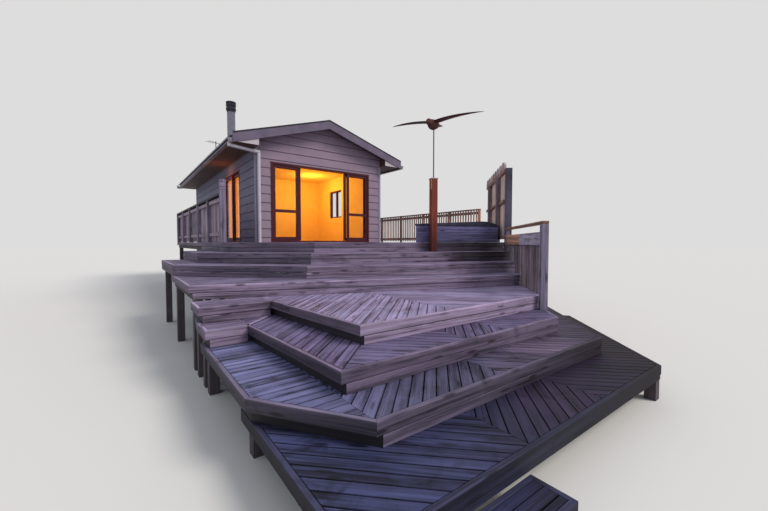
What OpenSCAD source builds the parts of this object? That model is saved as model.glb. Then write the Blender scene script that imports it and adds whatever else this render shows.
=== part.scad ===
// Beach house with a cascading timber deck.
// Origin: foot of the pile under the house's front left corner, on the lawn.
// X runs along the front wall to the right, Y runs back, the front faces -Y.

/* [Levels] */
// Height of one step, from tread to tread
riser = 175; // [160:1:190]
// Thickness of the deck boards
board_t = 32; // [25:1:40]
// Thickness of the boards that face a step
fascia_t = 32; // [25:1:45]
// Height of the upper of the two boards that face a step
upper_fascia_h = 92; // [80:1:110]
// How far the lower board is set in on the left faces
toe_left = 45; // [10:1:60]
// How far the lower board is set in on the front faces
toe_front = 6; // [2:1:20]

/* [House] */
// Width of the house over its framing
house_w = 3800; // [3400:50:4400]
// Length of the house over its framing
house_l = 8300; // [7400:100:9200]
// Thickness of a wall
wall_t = 120; // [110:5:150]
// Length of the living room behind the front wall
room_l = 3900; // [3500:50:4400]
// Thickness of the inner wall
inner_wall_t = 90; // [70:5:120]
// Height of the ceiling above the floor
ceiling_h = 2350; // [2250:10:2400]
// Thickness of the ceiling lining
ceiling_t = 20; // [10:1:30]
// Depth of the floor with its joists
floor_t = 200; // [150:10:260]
// Width of a square pile
pile_w = 150; // [120:5:200]
// Number of piles along the house
pile_rows = 5; // [4:1:7]
// Height of one base board
base_board_h = 140; // [120:5:160]
// Gap between base boards
base_board_gap = 22; // [10:1:40]

/* [Roof] */
// Slope of the roof in degrees
roof_pitch = 17; // [13:0.5:21]
// Depth of a roof plane with its sheet and battens
roof_t = 60; // [45:5:90]
// How far the eaves stand out from the side walls
eave_out = 600; // [450:10:700]
// How far the gables stand out from the end walls
gable_out = 300; // [200:10:450]
// Height of the soffit above the floor
soffit_h = 2335; // [2260:5:2400]
// Height of the eave board between soffit and roof
eave_board_h = 70; // [55:1:120]
// How far the eave board hangs below the soffit
eave_drop = 25; // [10:1:40]
// Thickness of the boards of the eave boxes
eave_board_t = 20; // [12:1:25]
// Height of the barge boards
barge_h = 238; // [190:2:260]
// Thickness of the barge boards
barge_t = 25; // [20:1:35]
// How far the barge boards stand above the roof
barge_lip = 80; // [20:5:100]
// Width of one wing of the ridge cap
ridge_wing = 160; // [120:5:220]
// Width of the gutters
gutter_w = 115; // [100:5:140]
// Height of the gutters
gutter_h = 100; // [80:2:120]
// Thickness of the gutters and the ridge cap
sheet_t = 4; // [3:1:6]
// Diameter of the downpipe
pipe_d = 80; // [65:1:100]

/* [Flue and aerial] */
// Diameter of the flue
flue_d = 250; // [180:5:300]
// Distance of the flue from the left wall
flue_x = 300; // [240:10:600]
// Distance of the flue from the front wall
flue_y = 3500; // [3000:50:3600]
// Height of the top of the cowl above the floor
flue_top = 4600; // [4300:50:4900]
// Diameter of the cowl
cowl_d = 310; // [250:5:360]
// Height of the cowl
cowl_h = 330; // [280:5:400]
// Height of the aerial above the floor
aerial_h = 3260; // [3000:20:3500]
// Length of the aerial's boom
aerial_l = 560; // [400:10:800]

/* [Front doors] */
// Distance of the door unit from the left corner
door_x = 370; // [250:10:450]
// Width of the door unit
door_w = 3020; // [2800:10:3100]
// Height of the door unit
door_h = 2050; // [2000:10:2100]
// Width of the door unit's outer frame
jamb_w = 50; // [40:1:60]
// Width of the stiles of fixed panels and leaves
stile_w = 72; // [60:1:85]
// Width of the bottom rails
bottom_rail_h = 95; // [80:1:120]
// Thickness of panels and leaves
panel_t = 40; // [35:1:45]
// Width of a fixed panel of the front doors
fixed_w = 710; // [680:5:730]
// Width of a sliding leaf of the front doors
leaf_w = 765; // [750:5:775]
// Gap round a moving leaf
leaf_gap = 6; // [5.5:0.5:8]
// Thickness of the glass
glass_t = 6; // [4:1:10]
// Height of the mid rail above the floor
mid_rail_z = 780; // [700:10:900]
// Depth of the mid rail
mid_rail_h = 75; // [60:1:90]
// Height of the sill above the floor
sill_h = 40; // [30:1:50]

/* [Side doors and windows] */
// Distance of the side doors from the front corner
side_door_y = 1420; // [1200:10:1600]
// Width of the side doors
side_door_w = 1780; // [1700:10:1840]
// Height of the side doors
side_door_h = 2040; // [2000:10:2060]
// Width of the moving leaf of the side doors
side_leaf_w = 872; // [860:1:900]
// Distance of the right window from the front corner
window_y = 2170; // [1800:10:2400]
// Width of a window
window_w = 900; // [700:10:1100]
// Height of the window sills above the floor
window_sill = 900; // [800:10:1100]
// Height of the window heads above the floor
window_head = 1890; // [1800:10:2000]

/* [Deck] */
// Left edge of the upper deck, left of the house
deck_left = 1240; // [1150:10:1400]
// Right edge of the upper deck, from the house's left corner
deck_right = 6100; // [5900:10:6400]
// How far the side decks run back beside the house
side_deck_l = 4200; // [3800:50:5000]
// Left edge of the landings and the lower terraces
landing_left = 2080; // [2000:10:2150]
// How far the first stair step stands out on the left
step_left = 460; // [420:10:500]
// Depth of a tread of the upper stair
stair_tread = 472; // [430:1:500]
// Angle of the stair's left faces to the house front
stair_angle_left = 45; // [40:1:50]
// Angle of the stair's right faces to the house front
stair_angle_right = 19.1; // [16:0.1:22]
// Front corner of the upper deck, across
deck_corner_x = -40; // [-100:5:50]
// Front corner of the upper deck, forward
deck_corner_y = -3360; // [-3450:5:-3300]
// Where the diagonal edge on the right crosses the house front
diagonal_x = 8260; // [8150:10:8350]
// Distance of the landing's front from the front wall, on its left edge
landing_front = 4130; // [4080:10:4180]

/* [Terraces] */
// Distance from the front wall to the front of the first terrace
first_front = 6480; // [6420:10:6520]
// Depth of the second terrace's tread
second_tread = 410; // [380:5:450]
// Depth of the third terrace's tread
third_tread = 415; // [380:5:450]
// Depth of the fourth terrace's tread
fourth_tread = 525; // [480:5:560]
// Corner of the first terrace, left of the house corner
first_left = 1130; // [1080:10:1180]
// Corner of the second terrace, left of the house corner
second_left = 1550; // [1500:10:1600]
// How far the first terrace's left edge leans over its length
first_lean = 215; // [150:5:260]
// How far the second terrace's left edge leans over its length
second_lean = 165; // [100:5:200]
// Width of the third terrace's cut corner
chamfer_x = 530; // [450:10:600]
// Length of the third terrace's cut corner
chamfer_y = 780; // [700:10:860]
// Left edge of the fourth terrace
fourth_left = 2040; // [2000:10:2080]
// Tread of the third terrace past the diagonal
wrap_third = 400; // [370:5:430]
// Tread of the fourth terrace past the third
wrap_fourth = 400; // [370:5:430]
// How far the lower terraces run back along the diagonal
wrap_l = 2420; // [2000:20:2600]
// Front of the upper side tread, from the front wall
side_tread_one = 4780; // [4740:10:4820]
// Depth of the lower side tread
side_tread_depth = 370; // [340:5:400]
// Height of the lowest terrace's only fascia board
low_fascia_h = 140; // [120:1:150]
// Right end of the bottom step, left of the house corner
bottom_step_right = 770; // [700:10:900]
// Depth of the bottom step
bottom_step_l = 260; // [220:10:400]
// Width of a deck post
post_w = 100; // [90:5:125]
// Spacing of the joists
joist_gap = 600; // [450:10:700]
// Width of a joist
joist_w = 45; // [40:1:60]
// Depth of a joist below the boards
joist_h = 95; // [80:5:100]

/* [Fences, screens and posts] */
// Height of the left fence above the deck
left_fence_h = 900; // [850:10:1000]
// Bays of the left fence
fence_bays = 5; // [4:1:6]
// Height of the left fence's front post
left_post_h = 1160; // [1100:10:1250]
// Width of one board of the left fence
fence_board_w = 140; // [120:5:160]
// Height of the picket fence above the deck
picket_h = 1020; // [950:10:1100]
// Spacing of the pickets
picket_step = 105; // [95:1:130]
// Width of a picket
picket_w = 45; // [35:1:55]
// Bays of the picket fence
picket_bays = 5; // [4:1:6]
// Height of the tall screen above the deck
screen_h = 1500; // [1400:10:1600]
// Start of the tall screen along the diagonal
screen_start = 2200; // [2150:10:2300]
// Length of the tall screen
screen_l = 2400; // [2200:20:2600]
// Bays of the tall screen
screen_bays = 3; // [2:1:4]
// Width of a post of the tall screen
screen_post_w = 90; // [80:5:100]
// Height of the stair screen's post above the upper deck
stair_post_h = 235; // [200:5:280]
// Width of the stair screen's near post
stair_post_w = 90; // [80:5:110]
// Width of an upright board of the stair screen
batten_w = 95; // [80:5:105]
// Spacing of the upright boards of the stair screen
batten_step = 140; // [125:5:160]
// Height of the raised surround's domed lid above the deck
surround_h = 420; // [390:5:450]
// Height of the surround's left and right sides
surround_end_h = 348; // [320:2:380]
// Distance of the surround's left end from the deck corner
surround_start = 1890; // [1800:10:1950]
// Length of the surround, back along the screen
surround_d = 1500; // [1200:20:1700]
// Width of the red post
red_post_w = 120; // [100:5:140]
// Height of the red post above the upper deck
red_post_h = 1200; // [1100:10:1300]
// Diameter of the rod that carries the bird
rod_d = 22; // [16:1:30]
// Height of the bird above the upper deck
bird_h = 2230; // [2100:10:2300]
// Span of the bird's wings
bird_span = 2060; // [1900:20:2200]

/* [Hidden] */
$fn = 48;

// Step levels, counted down from the house floor
steps_down = 9;
floor_z = steps_down * riser;
function level(k) = floor_z - k * riser;

// Roof lines: the height of the underside and the top at a place across
roof_rise = tan(roof_pitch);
roof_up = roof_t / cos(roof_pitch);
mid_x = house_w / 2;
function across(x) = x < mid_x ? x : house_w - x;
function under_roof(x) =
  floor_z + soffit_h + eave_board_h + roof_rise * (across(x) + eave_out);
function over_roof(x) = under_roof(x) + roof_up;
roof_y0 = -gable_out;
roof_l = house_l + 2 * gable_out;

// Door planes: the fixed panels stand outside, the leaves slide inside them
outer_plane = 10;
inner_plane = outer_plane + panel_t + leaf_gap + 1;
frame_d = inner_plane + panel_t + 8;
seat_gap = 0.3;
roller_d = 28;
roller_w = 12;
door_top = door_h - jamb_w;
side_top = side_door_h - jamb_w;
leaf_z0 = sill_h + leaf_gap;
leaf_tuck = 25;
leaf_x0 = door_x + jamb_w + leaf_tuck;
door_mid = door_x + door_w / 2;
door_far = door_x + door_w - jamb_w;
side_y0 = side_door_y + jamb_w;
side_y1 = side_door_y + side_door_w - jamb_w;
side_fixed_w = side_y1 - side_y0 - side_leaf_w + stile_w / 2;
pull_w = 22;
pull_l = 260;
pull_z = 950;

// Deck lines: the front corner of each step, and where its front meets the diagonal
function face_normal(a) = [-sin(a), -cos(a)];
left_normal = face_normal(stair_angle_left);
right_normal = face_normal(stair_angle_right);
corner_shift = stair_tread * (left_normal + right_normal)
  / (1 + left_normal * right_normal);
deck_corner = [deck_corner_x, deck_corner_y];
function step_corner(k) = deck_corner + k * corner_shift;
stair_slope = tan(stair_angle_right);
function meets_diagonal(p) =
  let (x = (p[1] + stair_slope * p[0] + diagonal_x) / (1 + stair_slope))
  [x, x - diagonal_x];
function on_left_face(p, x) = [x, p[1] + (p[0] - x) * tan(stair_angle_left)];
function diagonal_at(x, out = 0) = [x, x - diagonal_x - out * sqrt(2)];
landing_corner = [-landing_left, -landing_front];
landing_end = meets_diagonal(landing_corner);
lap = 260;

// Terrace fronts
front_one = -first_front;
front_two = front_one - second_tread;
front_three = front_two - third_tread;
front_four = front_three - fourth_tread;
function front_end(y, out = 0) = [y + diagonal_x + out * sqrt(2), y];
end_one = front_end(front_one);
end_two = front_end(front_two);
end_three = front_end(front_three, wrap_third);
end_four = front_end(front_four, wrap_third + wrap_fourth);
function back_along(p, l) = p + l * [cos(45), sin(45)];
function inward(p, l) = p + l * [-sin(45), cos(45)];
treads_front = [-side_tread_one, -side_tread_one - side_tread_depth];
first_back = [-first_left - first_lean, -side_tread_one + lap];
second_back = [-second_left - second_lean, -side_tread_one + lap];

// Outlines, each listed anticlockwise from its back left corner
step_one_left = -deck_left - step_left;
step_back = -780;
upper_outline = [
  [-deck_left, 0], on_left_face(deck_corner, -deck_left), deck_corner,
  meets_diagonal(deck_corner), diagonal_at(deck_right), [deck_right, 0]
];
step_one_outline = [
  [step_one_left, step_back], on_left_face(step_corner(1), step_one_left),
  step_corner(1), meets_diagonal(step_corner(1)),
  back_along(meets_diagonal(deck_corner), lap), [-deck_left + lap, step_back]
];
step_two_outline = [
  [-landing_left, step_back], on_left_face(step_corner(2), -landing_left),
  step_corner(2), meets_diagonal(step_corner(2)),
  back_along(meets_diagonal(step_corner(1)), lap), [step_one_left + lap, step_back]
];
landing_outline = [
  on_left_face(step_corner(2), -landing_left) + [0, lap], landing_corner,
  landing_end, back_along(meets_diagonal(step_corner(2)), lap)
];
first_outline = [
  first_back + [0, lap], [-first_left, front_one], end_one,
  back_along(landing_end, lap)
];
second_outline = [
  second_back, [-second_left, front_two], end_two,
  back_along(end_one, lap), [-first_left + lap, -side_tread_one + lap]
];
third_outline = [
  [-landing_left, treads_front[1] + lap],
  [-landing_left, front_three + chamfer_y],
  [-landing_left + chamfer_x, front_three], end_three,
  back_along(end_three, wrap_l - lap),
  inward(back_along(end_three, wrap_l - lap), wrap_third)
];
fourth_outline = [
  [-fourth_left, front_three + chamfer_y + lap], [-fourth_left, front_four],
  end_four, back_along(end_four, wrap_l),
  inward(back_along(end_four, wrap_l), wrap_fourth + lap / 2)
];
post_face = 0.12 * post_w;
bottom_back = front_four + toe_front + post_face;
bottom_outline = [
  [-fourth_left, bottom_back], [-fourth_left, front_four - bottom_step_l],
  [-bottom_step_right, front_four - bottom_step_l],
  [-bottom_step_right, bottom_back]
];

left_side_outline = [
  [-deck_left, side_deck_l], [-deck_left, 0], [0, 0], [0, side_deck_l]
];
right_side_outline = [
  [house_w, side_deck_l], [house_w, 0], [deck_right, 0], [deck_right, side_deck_l]
];
// Narrow treads left of the first two terraces, each meeting a terrace's leaning edge
side_tread_l = 480;
function edge_x(p, q, y) = p[0] + (q[0] - p[0]) * (y - p[1]) / (q[1] - p[1]);
function side_tread(y, p, q) = [
  [-landing_left, y + side_tread_l], [-landing_left, y],
  [edge_x(p, q, y), y], [edge_x(p, q, y + side_tread_l), y + side_tread_l]
];
upper_tread_outline = side_tread(treads_front[0], first_outline[0], first_outline[1]);
lower_tread_outline = side_tread(treads_front[1], second_outline[0], second_outline[1]);

// A convex outline with each edge moved in by its own distance
function unit(v) = v / norm(v);
function edge_dir(p, i) = unit(p[(i + 1) % len(p)] - p[i]);
function cross2(a, b) = a[0] * b[1] - a[1] * b[0];
function moved_point(p, i, d) =
  let (n = len(p), j = (i + n - 1) % n, u = edge_dir(p, j), v = edge_dir(p, i),
       a = p[i] + d[j] * [-u[1], u[0]], b = p[i] + d[i] * [-v[1], v[0]],
       t = cross2(b - a, v) / cross2(u, v))
  a + t * u;
function inset(p, d) = [for (i = [0:len(p) - 1]) moved_point(p, i, d)];
function all_edges(p, d) = [for (i = [0:len(p) - 1]) d];
// Faces that look left are set in more than faces that look forward
function toes(p) = [for (i = [0:len(p) - 1])
  let (u = edge_dir(p, i)) u[1] < -0.5 ? toe_left : toe_front];
function plus(d, e) = [for (v = d) v + e];
function low(p, axis) = min([for (v = p) v[axis]]);
function high(p, axis) = max([for (v = p) v[axis]]);

module slab(p, z0, z1) translate([0, 0, z0]) linear_extrude(z1 - z0) polygon(p);

// A hollow frame that follows an outline
module rim(p, d, z0, z1) difference() {
  slab(inset(p, d), z0, z1);
  slab(inset(p, plus(d, fascia_t)), z0 - 1, z1 + 1);
}

// One deck level: boards, joists and the boards that face its sides
module deck_level(p, top, face_h) {
  none = all_edges(p, 0);
  under = top - board_t;
  slab(p, under, top);
  rim(p, none, top - min(upper_fascia_h, face_h), under);
  if (face_h > upper_fascia_h)
    rim(p, toes(p), top - face_h, top - upper_fascia_h + 2);
  intersection() {
    slab(inset(p, all_edges(p, toe_left + fascia_t / 2)), under - joist_h, under);
    union() for (x = [low(p, 0) + joist_gap / 2 : joist_gap : high(p, 0)])
      translate([x, low(p, 1), under - joist_h])
        cube([joist_w, high(p, 1) - low(p, 1), joist_h]);
  }
}

deck_colour = [0.47, 0.42, 0.44];
dark_timber = [0.25, 0.24, 0.28];
wall_colour = [0.78, 0.74, 0.70];
frame_colour = [0.33, 0.10, 0.08];
glass_colour = [0.95, 0.72, 0.35, 0.5];
steel_colour = [0.50, 0.50, 0.53];
white_colour = [0.90, 0.90, 0.92];
lining_colour = [0.93, 0.80, 0.55];
fence_colour = [0.60, 0.47, 0.34];

// House base and walls

pile_inset = 20;
module house_piles() color(dark_timber) {
  xs = [-pile_inset, mid_x - pile_w / 2, house_w + pile_inset - pile_w];
  run = house_l + 2 * pile_inset - pile_w;
  for (x = xs, i = [0:pile_rows - 1])
    translate([x, -pile_inset + i * run / (pile_rows - 1), 0])
      cube([pile_w, pile_w, floor_z - floor_t]);
}

floor_skin = 30;
rim_joist = 50;
module floor_platform() color(fence_colour) {
  translate([0, 0, floor_z - floor_skin]) cube([house_w, house_l, floor_skin]);
  difference() {
    translate([0, 0, floor_z - floor_t]) cube([house_w, house_l, floor_t - floor_skin]);
    for (i = [0:1], j = [0:3]) translate([
      rim_joist + i * (house_w - rim_joist) / 2,
      rim_joist + j * (house_l - rim_joist) / 4, floor_z - floor_t - 1
    ]) cube([(house_w - rim_joist) / 2 - rim_joist,
             (house_l - rim_joist) / 4 - rim_joist, floor_t - floor_skin + 1]);
  }
}

// Base boards run outside the piles and are held together by upright battens
base_boards_n = floor((floor_z - floor_t - 60) / (base_board_h + base_board_gap));
base_z0 = floor_z - floor_t - base_boards_n * (base_board_h + base_board_gap);
module base_run(l, bays) {
  for (i = [0:base_boards_n - 1])
    translate([0, -pile_inset, base_z0 + i * (base_board_h + base_board_gap)])
      cube([l, pile_inset, base_board_h]);
  for (i = [0:bays - 1]) translate([(i + 0.5) * l / bays, 0, base_z0])
    cube([joist_w, pile_inset - 1, floor_z - floor_t - base_z0 - base_board_gap]);
}
module base_boards() color(dark_timber) {
  side_l = house_l + 4 * pile_inset;
  translate([-pile_inset, side_l - 2 * pile_inset, 0]) rotate(-90)
    base_run(side_l, pile_rows - 1);
  translate([house_w + pile_inset, -2 * pile_inset, 0]) rotate(90)
    base_run(side_l, pile_rows - 1);
  translate([house_w + pile_inset - seat_gap, house_l + pile_inset, 0]) rotate(180)
    base_run(house_w + 2 * (pile_inset - seat_gap), 2);
}

// Walls and eave boxes seat just under the slope of the roof
function wall_top(x) = under_roof(x) - seat_gap;
// A wall across the house whose top follows the roof, from height z0
module gable_wall(z0) {
  rotate([90, 0, 0]) linear_extrude(wall_t) polygon([
    [0, z0], [house_w, z0], [house_w, wall_top(house_w)],
    [mid_x, wall_top(mid_x)], [0, wall_top(0)]
  ]);
}
// A side wall along the house whose top follows the roof
module side_wall(y0, y1, z0, z1) {
  translate([0, y1, 0]) rotate([90, 0, 0]) linear_extrude(y1 - y0)
    polygon(z1 == undef
      ? [[0, z0], [wall_t, z0], [wall_t, wall_top(wall_t)], [0, wall_top(0)]]
      : [[0, z0], [wall_t, z0], [wall_t, z1], [0, z1]]);
}

module front_wall_left() color(wall_colour)
  translate([0, 0, floor_z]) cube([door_x, wall_t, door_h]);
module front_wall_right() color(wall_colour)
  translate([door_x + door_w, 0, floor_z])
    cube([house_w - door_x - door_w, wall_t, door_h]);
module front_gable() color(wall_colour)
  translate([0, wall_t, 0]) gable_wall(floor_z + door_h);
module left_wall_front() color(wall_colour)
  side_wall(wall_t, side_door_y, floor_z, floor_z + side_door_h);
module left_wall_back() color(wall_colour)
  side_wall(side_door_y + side_door_w, house_l - wall_t, floor_z, floor_z + side_door_h);
module left_wall_head() color(wall_colour)
  side_wall(wall_t, house_l - wall_t, floor_z + side_door_h);
module right_wall() color(wall_colour) difference() {
  translate([house_w, 0, 0]) mirror([1, 0, 0])
    side_wall(wall_t, house_l - wall_t, floor_z);
  translate([house_w - wall_t - 1, window_y, floor_z + window_sill])
    cube([wall_t + 2, window_w, window_head - window_sill]);
}
back_window_x = mid_x - window_w / 2;
module back_wall() color(wall_colour) difference() {
  translate([0, house_l, 0]) gable_wall(floor_z);
  translate([back_window_x, house_l - wall_t - 1, floor_z + window_sill])
    cube([window_w, wall_t + 2, window_head - window_sill]);
}
module living_room_wall() color(lining_colour)
  translate([wall_t, wall_t + room_l, floor_z])
    cube([house_w - 2 * wall_t, inner_wall_t, ceiling_h]);
module ceiling() color(lining_colour)
  translate([wall_t, wall_t, floor_z + ceiling_h])
    cube([house_w - 2 * wall_t, house_l - 2 * wall_t, ceiling_t]);

// Roof

module roof_plane() {
  translate([0, roof_y0 + roof_l, 0]) rotate([90, 0, 0]) linear_extrude(roof_l)
    polygon([
      [-eave_out, under_roof(-eave_out)], [mid_x, under_roof(mid_x)],
      [mid_x, over_roof(mid_x)], [-eave_out, over_roof(-eave_out)]
    ]);
}
module roof_left() color(steel_colour) difference() {
  roof_plane();
  translate([flue_x, flue_y, floor_z + ceiling_h])
    cylinder(d = flue_d + 2 * seat_gap, h = flue_top - ceiling_h, $fn = 96);
}
module roof_right() color(steel_colour)
  translate([house_w, 0, 0]) mirror([1, 0, 0]) roof_plane();
module ridge_cap() color(steel_colour)
  translate([0, roof_y0 + roof_l, seat_gap]) rotate([90, 0, 0]) linear_extrude(roof_l)
    polygon([
      [mid_x - ridge_wing, over_roof(mid_x - ridge_wing)],
      [mid_x, over_roof(mid_x)],
      [mid_x + ridge_wing, over_roof(mid_x + ridge_wing)],
      [mid_x + ridge_wing, over_roof(mid_x + ridge_wing) + sheet_t],
      [mid_x, over_roof(mid_x) + sheet_t],
      [mid_x - ridge_wing, over_roof(mid_x - ridge_wing) + sheet_t]
    ]);

module barge_chevron() rotate([90, 0, 0]) linear_extrude(barge_t) {
  top = barge_lip;
  polygon([
    [-eave_out, over_roof(-eave_out) + top],
    [-eave_out, over_roof(-eave_out) + top - barge_h],
    [mid_x, over_roof(mid_x) + top - barge_h],
    [house_w + eave_out, over_roof(-eave_out) + top - barge_h],
    [house_w + eave_out, over_roof(-eave_out) + top],
    [mid_x, over_roof(mid_x) + top]
  ]);
}
module barge_boards() color([0.42, 0.42, 0.50]) {
  translate([0, roof_y0, 0]) barge_chevron();
  translate([0, roof_y0 + roof_l + barge_t, 0]) barge_chevron();
}

// A boxed eave: flat soffit, eave board, closed ends, and a cheek past each end wall
module eave_box() {
  z0 = floor_z + soffit_h;
  module section(x0, x1, zb) rotate([90, 0, 0]) linear_extrude(roof_l) polygon([
    [x0, zb], [x1, zb], [x1, wall_top(x1)], [x0, wall_top(x0)]
  ]);
  difference() {
    translate([0, roof_y0 + roof_l, 0]) section(-eave_out, 0, z0);
    translate([-eave_out + eave_board_t, roof_y0 + eave_board_t, z0 + eave_board_t])
      cube([eave_out, gable_out - eave_board_t, eave_out]);
    translate([-eave_out + eave_board_t, -1, z0 + eave_board_t])
      cube([eave_out, house_l + 2, eave_out]);
    translate([-eave_out + eave_board_t, house_l, z0 + eave_board_t])
      cube([eave_out, gable_out - eave_board_t, eave_out]);
  }
  for (y = [roof_y0, house_l])
    translate([0, y + gable_out, 0]) rotate([90, 0, 0]) linear_extrude(gable_out)
      polygon([[-eave_board_t, z0], [0, z0], [0, wall_top(0)],
               [-eave_board_t, wall_top(-eave_board_t)]]);
  translate([-eave_out, roof_y0, z0 - eave_drop])
    cube([eave_board_t, roof_l, eave_drop + eave_board_t]);
}
module eave_boxes() color(white_colour) {
  eave_box();
  translate([house_w, 0, 0]) mirror([1, 0, 0]) eave_box();
}

gutter_top = floor_z + soffit_h - eave_drop + gutter_h;
module gutter() translate([-eave_out, roof_y0 + roof_l, gutter_top]) {
  difference() {
    rotate([90, 0, 0]) linear_extrude(roof_l)
      polygon([[0, 0], [0, -gutter_h], [-gutter_w * 0.8, -gutter_h],
               [-gutter_w, -gutter_h * 0.25], [-gutter_w, 0]]);
    translate([-gutter_w + sheet_t, -roof_l + sheet_t, -gutter_h + sheet_t])
      cube([gutter_w * 0.8 - sheet_t, roof_l - 2 * sheet_t, gutter_h]);
  }
}
module gutters() color(steel_colour) {
  difference() {
    gutter();
    translate([pipe_top[0], pipe_top[1], gutter_top - gutter_h - 1])
      cylinder(d = pipe_d - 12, h = sheet_t + 2);
  }
  translate([house_w, 0, 0]) mirror([1, 0, 0]) gutter();
}

// The downpipe drops from the gutter, swings under the soffit to the corner, and drops
pipe_knee_d = pipe_d + 8;
pipe_knee_drop = 55;
pipe_fall = 30;
pipe_stand_off = 32;
pipe_top = [-eave_out - gutter_w / 2, roof_y0 + pipe_knee_d, gutter_top - gutter_h];
pipe_foot = [60, -pipe_d / 2 - pipe_stand_off, floor_z];
pipe_clips = [0.22, 0.66];
module pipe_between(a, b) {
  v = b - a;
  translate(a) rotate([0, acos(v[2] / norm(v)), atan2(v[1], v[0])])
    cylinder(d = pipe_d, h = norm(v));
}
module downpipe() color(white_colour) {
  knee_one = pipe_top - [0, 0, pipe_knee_drop];
  knee_two = [pipe_foot[0], pipe_foot[1], knee_one[2] - pipe_fall];
  pipe_between(pipe_top, knee_one);
  translate(knee_one) sphere(d = pipe_knee_d);
  pipe_between(knee_one, knee_two);
  translate(knee_two) sphere(d = pipe_knee_d);
  pipe_between(pipe_foot, knee_two);
  for (k = pipe_clips) translate([pipe_foot[0], pipe_foot[1], floor_z + k * soffit_h]) {
    cylinder(d = pipe_knee_d, h = 30);
    translate([-10, 0, 0]) cube([20, -pipe_foot[1], 30]);
  }
}

flue_z0 = floor_z + ceiling_h + ceiling_t;
cowl_z0 = floor_z + flue_top - cowl_h;
module flue() color(steel_colour) translate([flue_x, flue_y, 0]) {
  translate([0, 0, flue_z0]) cylinder(d = flue_d, h = cowl_z0 - flue_z0, $fn = 96);
}
module flue_cowl() color([0.16, 0.15, 0.16]) translate([flue_x, flue_y, cowl_z0]) {
  neck = cowl_h * 0.22;
  band = cowl_h * 0.2;
  cylinder(d = cowl_d * 0.86, h = cowl_h);
  for (z = [neck, cowl_h - 2 * band]) translate([0, 0, z]) cylinder(d = cowl_d, h = band);
  translate([0, 0, cowl_h - band * 0.6]) cylinder(d = cowl_d, h = band * 0.6);
}

aerial_rod = 12;
aerial_out = 480;
aerial_x = flue_x - aerial_out;
module tv_aerial() color([0.30, 0.30, 0.32]) translate([aerial_x, flue_y, 0]) {
  mast_z = over_roof(aerial_x + aerial_rod) + seat_gap;
  translate([0, 0, mast_z]) cylinder(d = 2 * aerial_rod, h = floor_z + aerial_h - mast_z);
  translate([0, 0, floor_z + aerial_h - 60]) rotate(20) {
    translate([-aerial_l / 2, 0, 0]) rotate([0, 90, 0])
      cylinder(d = aerial_rod, h = aerial_l);
    for (i = [0:5]) translate([-aerial_l / 2 + 20 + i * (aerial_l - 40) / 5, 0, 0])
      rotate([90, 0, 0])
        cylinder(d = aerial_rod * 0.8, h = 300 - 25 * i, center = true);
  }
}

// Doors and windows, drawn in a flat frame: across, up, and depth from the outer face

// A sash with its glass left open: w by h, with stiles, rails and perhaps a mid rail
module sash(w, h, stile, mid = 0) {
  difference() {
    cube([w, panel_t, h]);
    translate([stile, -1, bottom_rail_h])
      cube([w - 2 * stile, panel_t + 2, h - bottom_rail_h - stile]);
  }
  if (mid > 0) translate([stile, 0, mid]) cube([w - 2 * stile, panel_t, mid_rail_h]);
}
module sash_glass(w, h, stile, mid = 0) {
  top = h - stile;
  y = (panel_t - glass_t) / 2;
  if (mid > 0) {
    translate([stile, y, bottom_rail_h])
      cube([w - 2 * stile, glass_t, mid - bottom_rail_h]);
    translate([stile, y, mid + mid_rail_h])
      cube([w - 2 * stile, glass_t, top - mid - mid_rail_h]);
  } else translate([stile, y, bottom_rail_h])
    cube([w - 2 * stile, glass_t, top - bottom_rail_h]);
}
// The outer frame of a door unit, w wide and h high, with a sill
module door_surround(w, h) difference() {
  translate([0, -15, 0]) cube([w, frame_d + 15, h]);
  translate([jamb_w, -16, sill_h]) cube([w - 2 * jamb_w, frame_d + 17, h - jamb_w - sill_h]);
}
// Two rollers under a leaf
module rollers(w) for (x = [w * 0.15, w * 0.85])
  translate([x, panel_t / 2 - roller_w / 2, roller_d / 2 - leaf_gap + seat_gap])
    rotate([-90, 0, 0]) cylinder(d = roller_d, h = roller_w);
module pull(x) translate([x, panel_t, pull_z]) {
  for (z = [0, pull_l - pull_w]) translate([0, 0, z]) cube([pull_w, 25, pull_w]);
  translate([0, 25 - 8, 0]) cube([pull_w, 12, pull_l]);
}

fixed_h = door_top - sill_h;
mid_up = mid_rail_z - sill_h;
leaf_h = door_top - leaf_gap - leaf_z0;
module front_door_frame() color(frame_colour) translate([door_x, 0, floor_z]) {
  door_surround(door_w, door_h);
  for (x = [jamb_w, door_w - jamb_w - fixed_w])
    translate([x, outer_plane, sill_h]) sash(fixed_w, fixed_h, stile_w, mid_up);
}
module front_fixed_glass() color(glass_colour) translate([door_x, 0, floor_z])
  for (x = [jamb_w, door_w - jamb_w - fixed_w])
    translate([x, outer_plane, sill_h]) sash_glass(fixed_w, fixed_h, stile_w, mid_up);

module front_leaf_place(right) {
  if (right) translate([2 * door_mid, 0, 0]) mirror([1, 0, 0]) front_leaf_place(false)
    children();
  else translate([leaf_x0, inner_plane, floor_z + leaf_z0]) children();
}
module front_leaf() {
  sash(leaf_w, leaf_h, stile_w);
  rollers(leaf_w);
  pull(leaf_w - stile_w / 2 - pull_w / 2);
}
module front_leaf_left() color(frame_colour) front_leaf_place(false) front_leaf();
module front_leaf_left_glass() color(glass_colour)
  front_leaf_place(false) sash_glass(leaf_w, leaf_h, stile_w);
module front_leaf_right() color(frame_colour) front_leaf_place(true) front_leaf();
module front_leaf_right_glass() color(glass_colour)
  front_leaf_place(true) sash_glass(leaf_w, leaf_h, stile_w);

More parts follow.
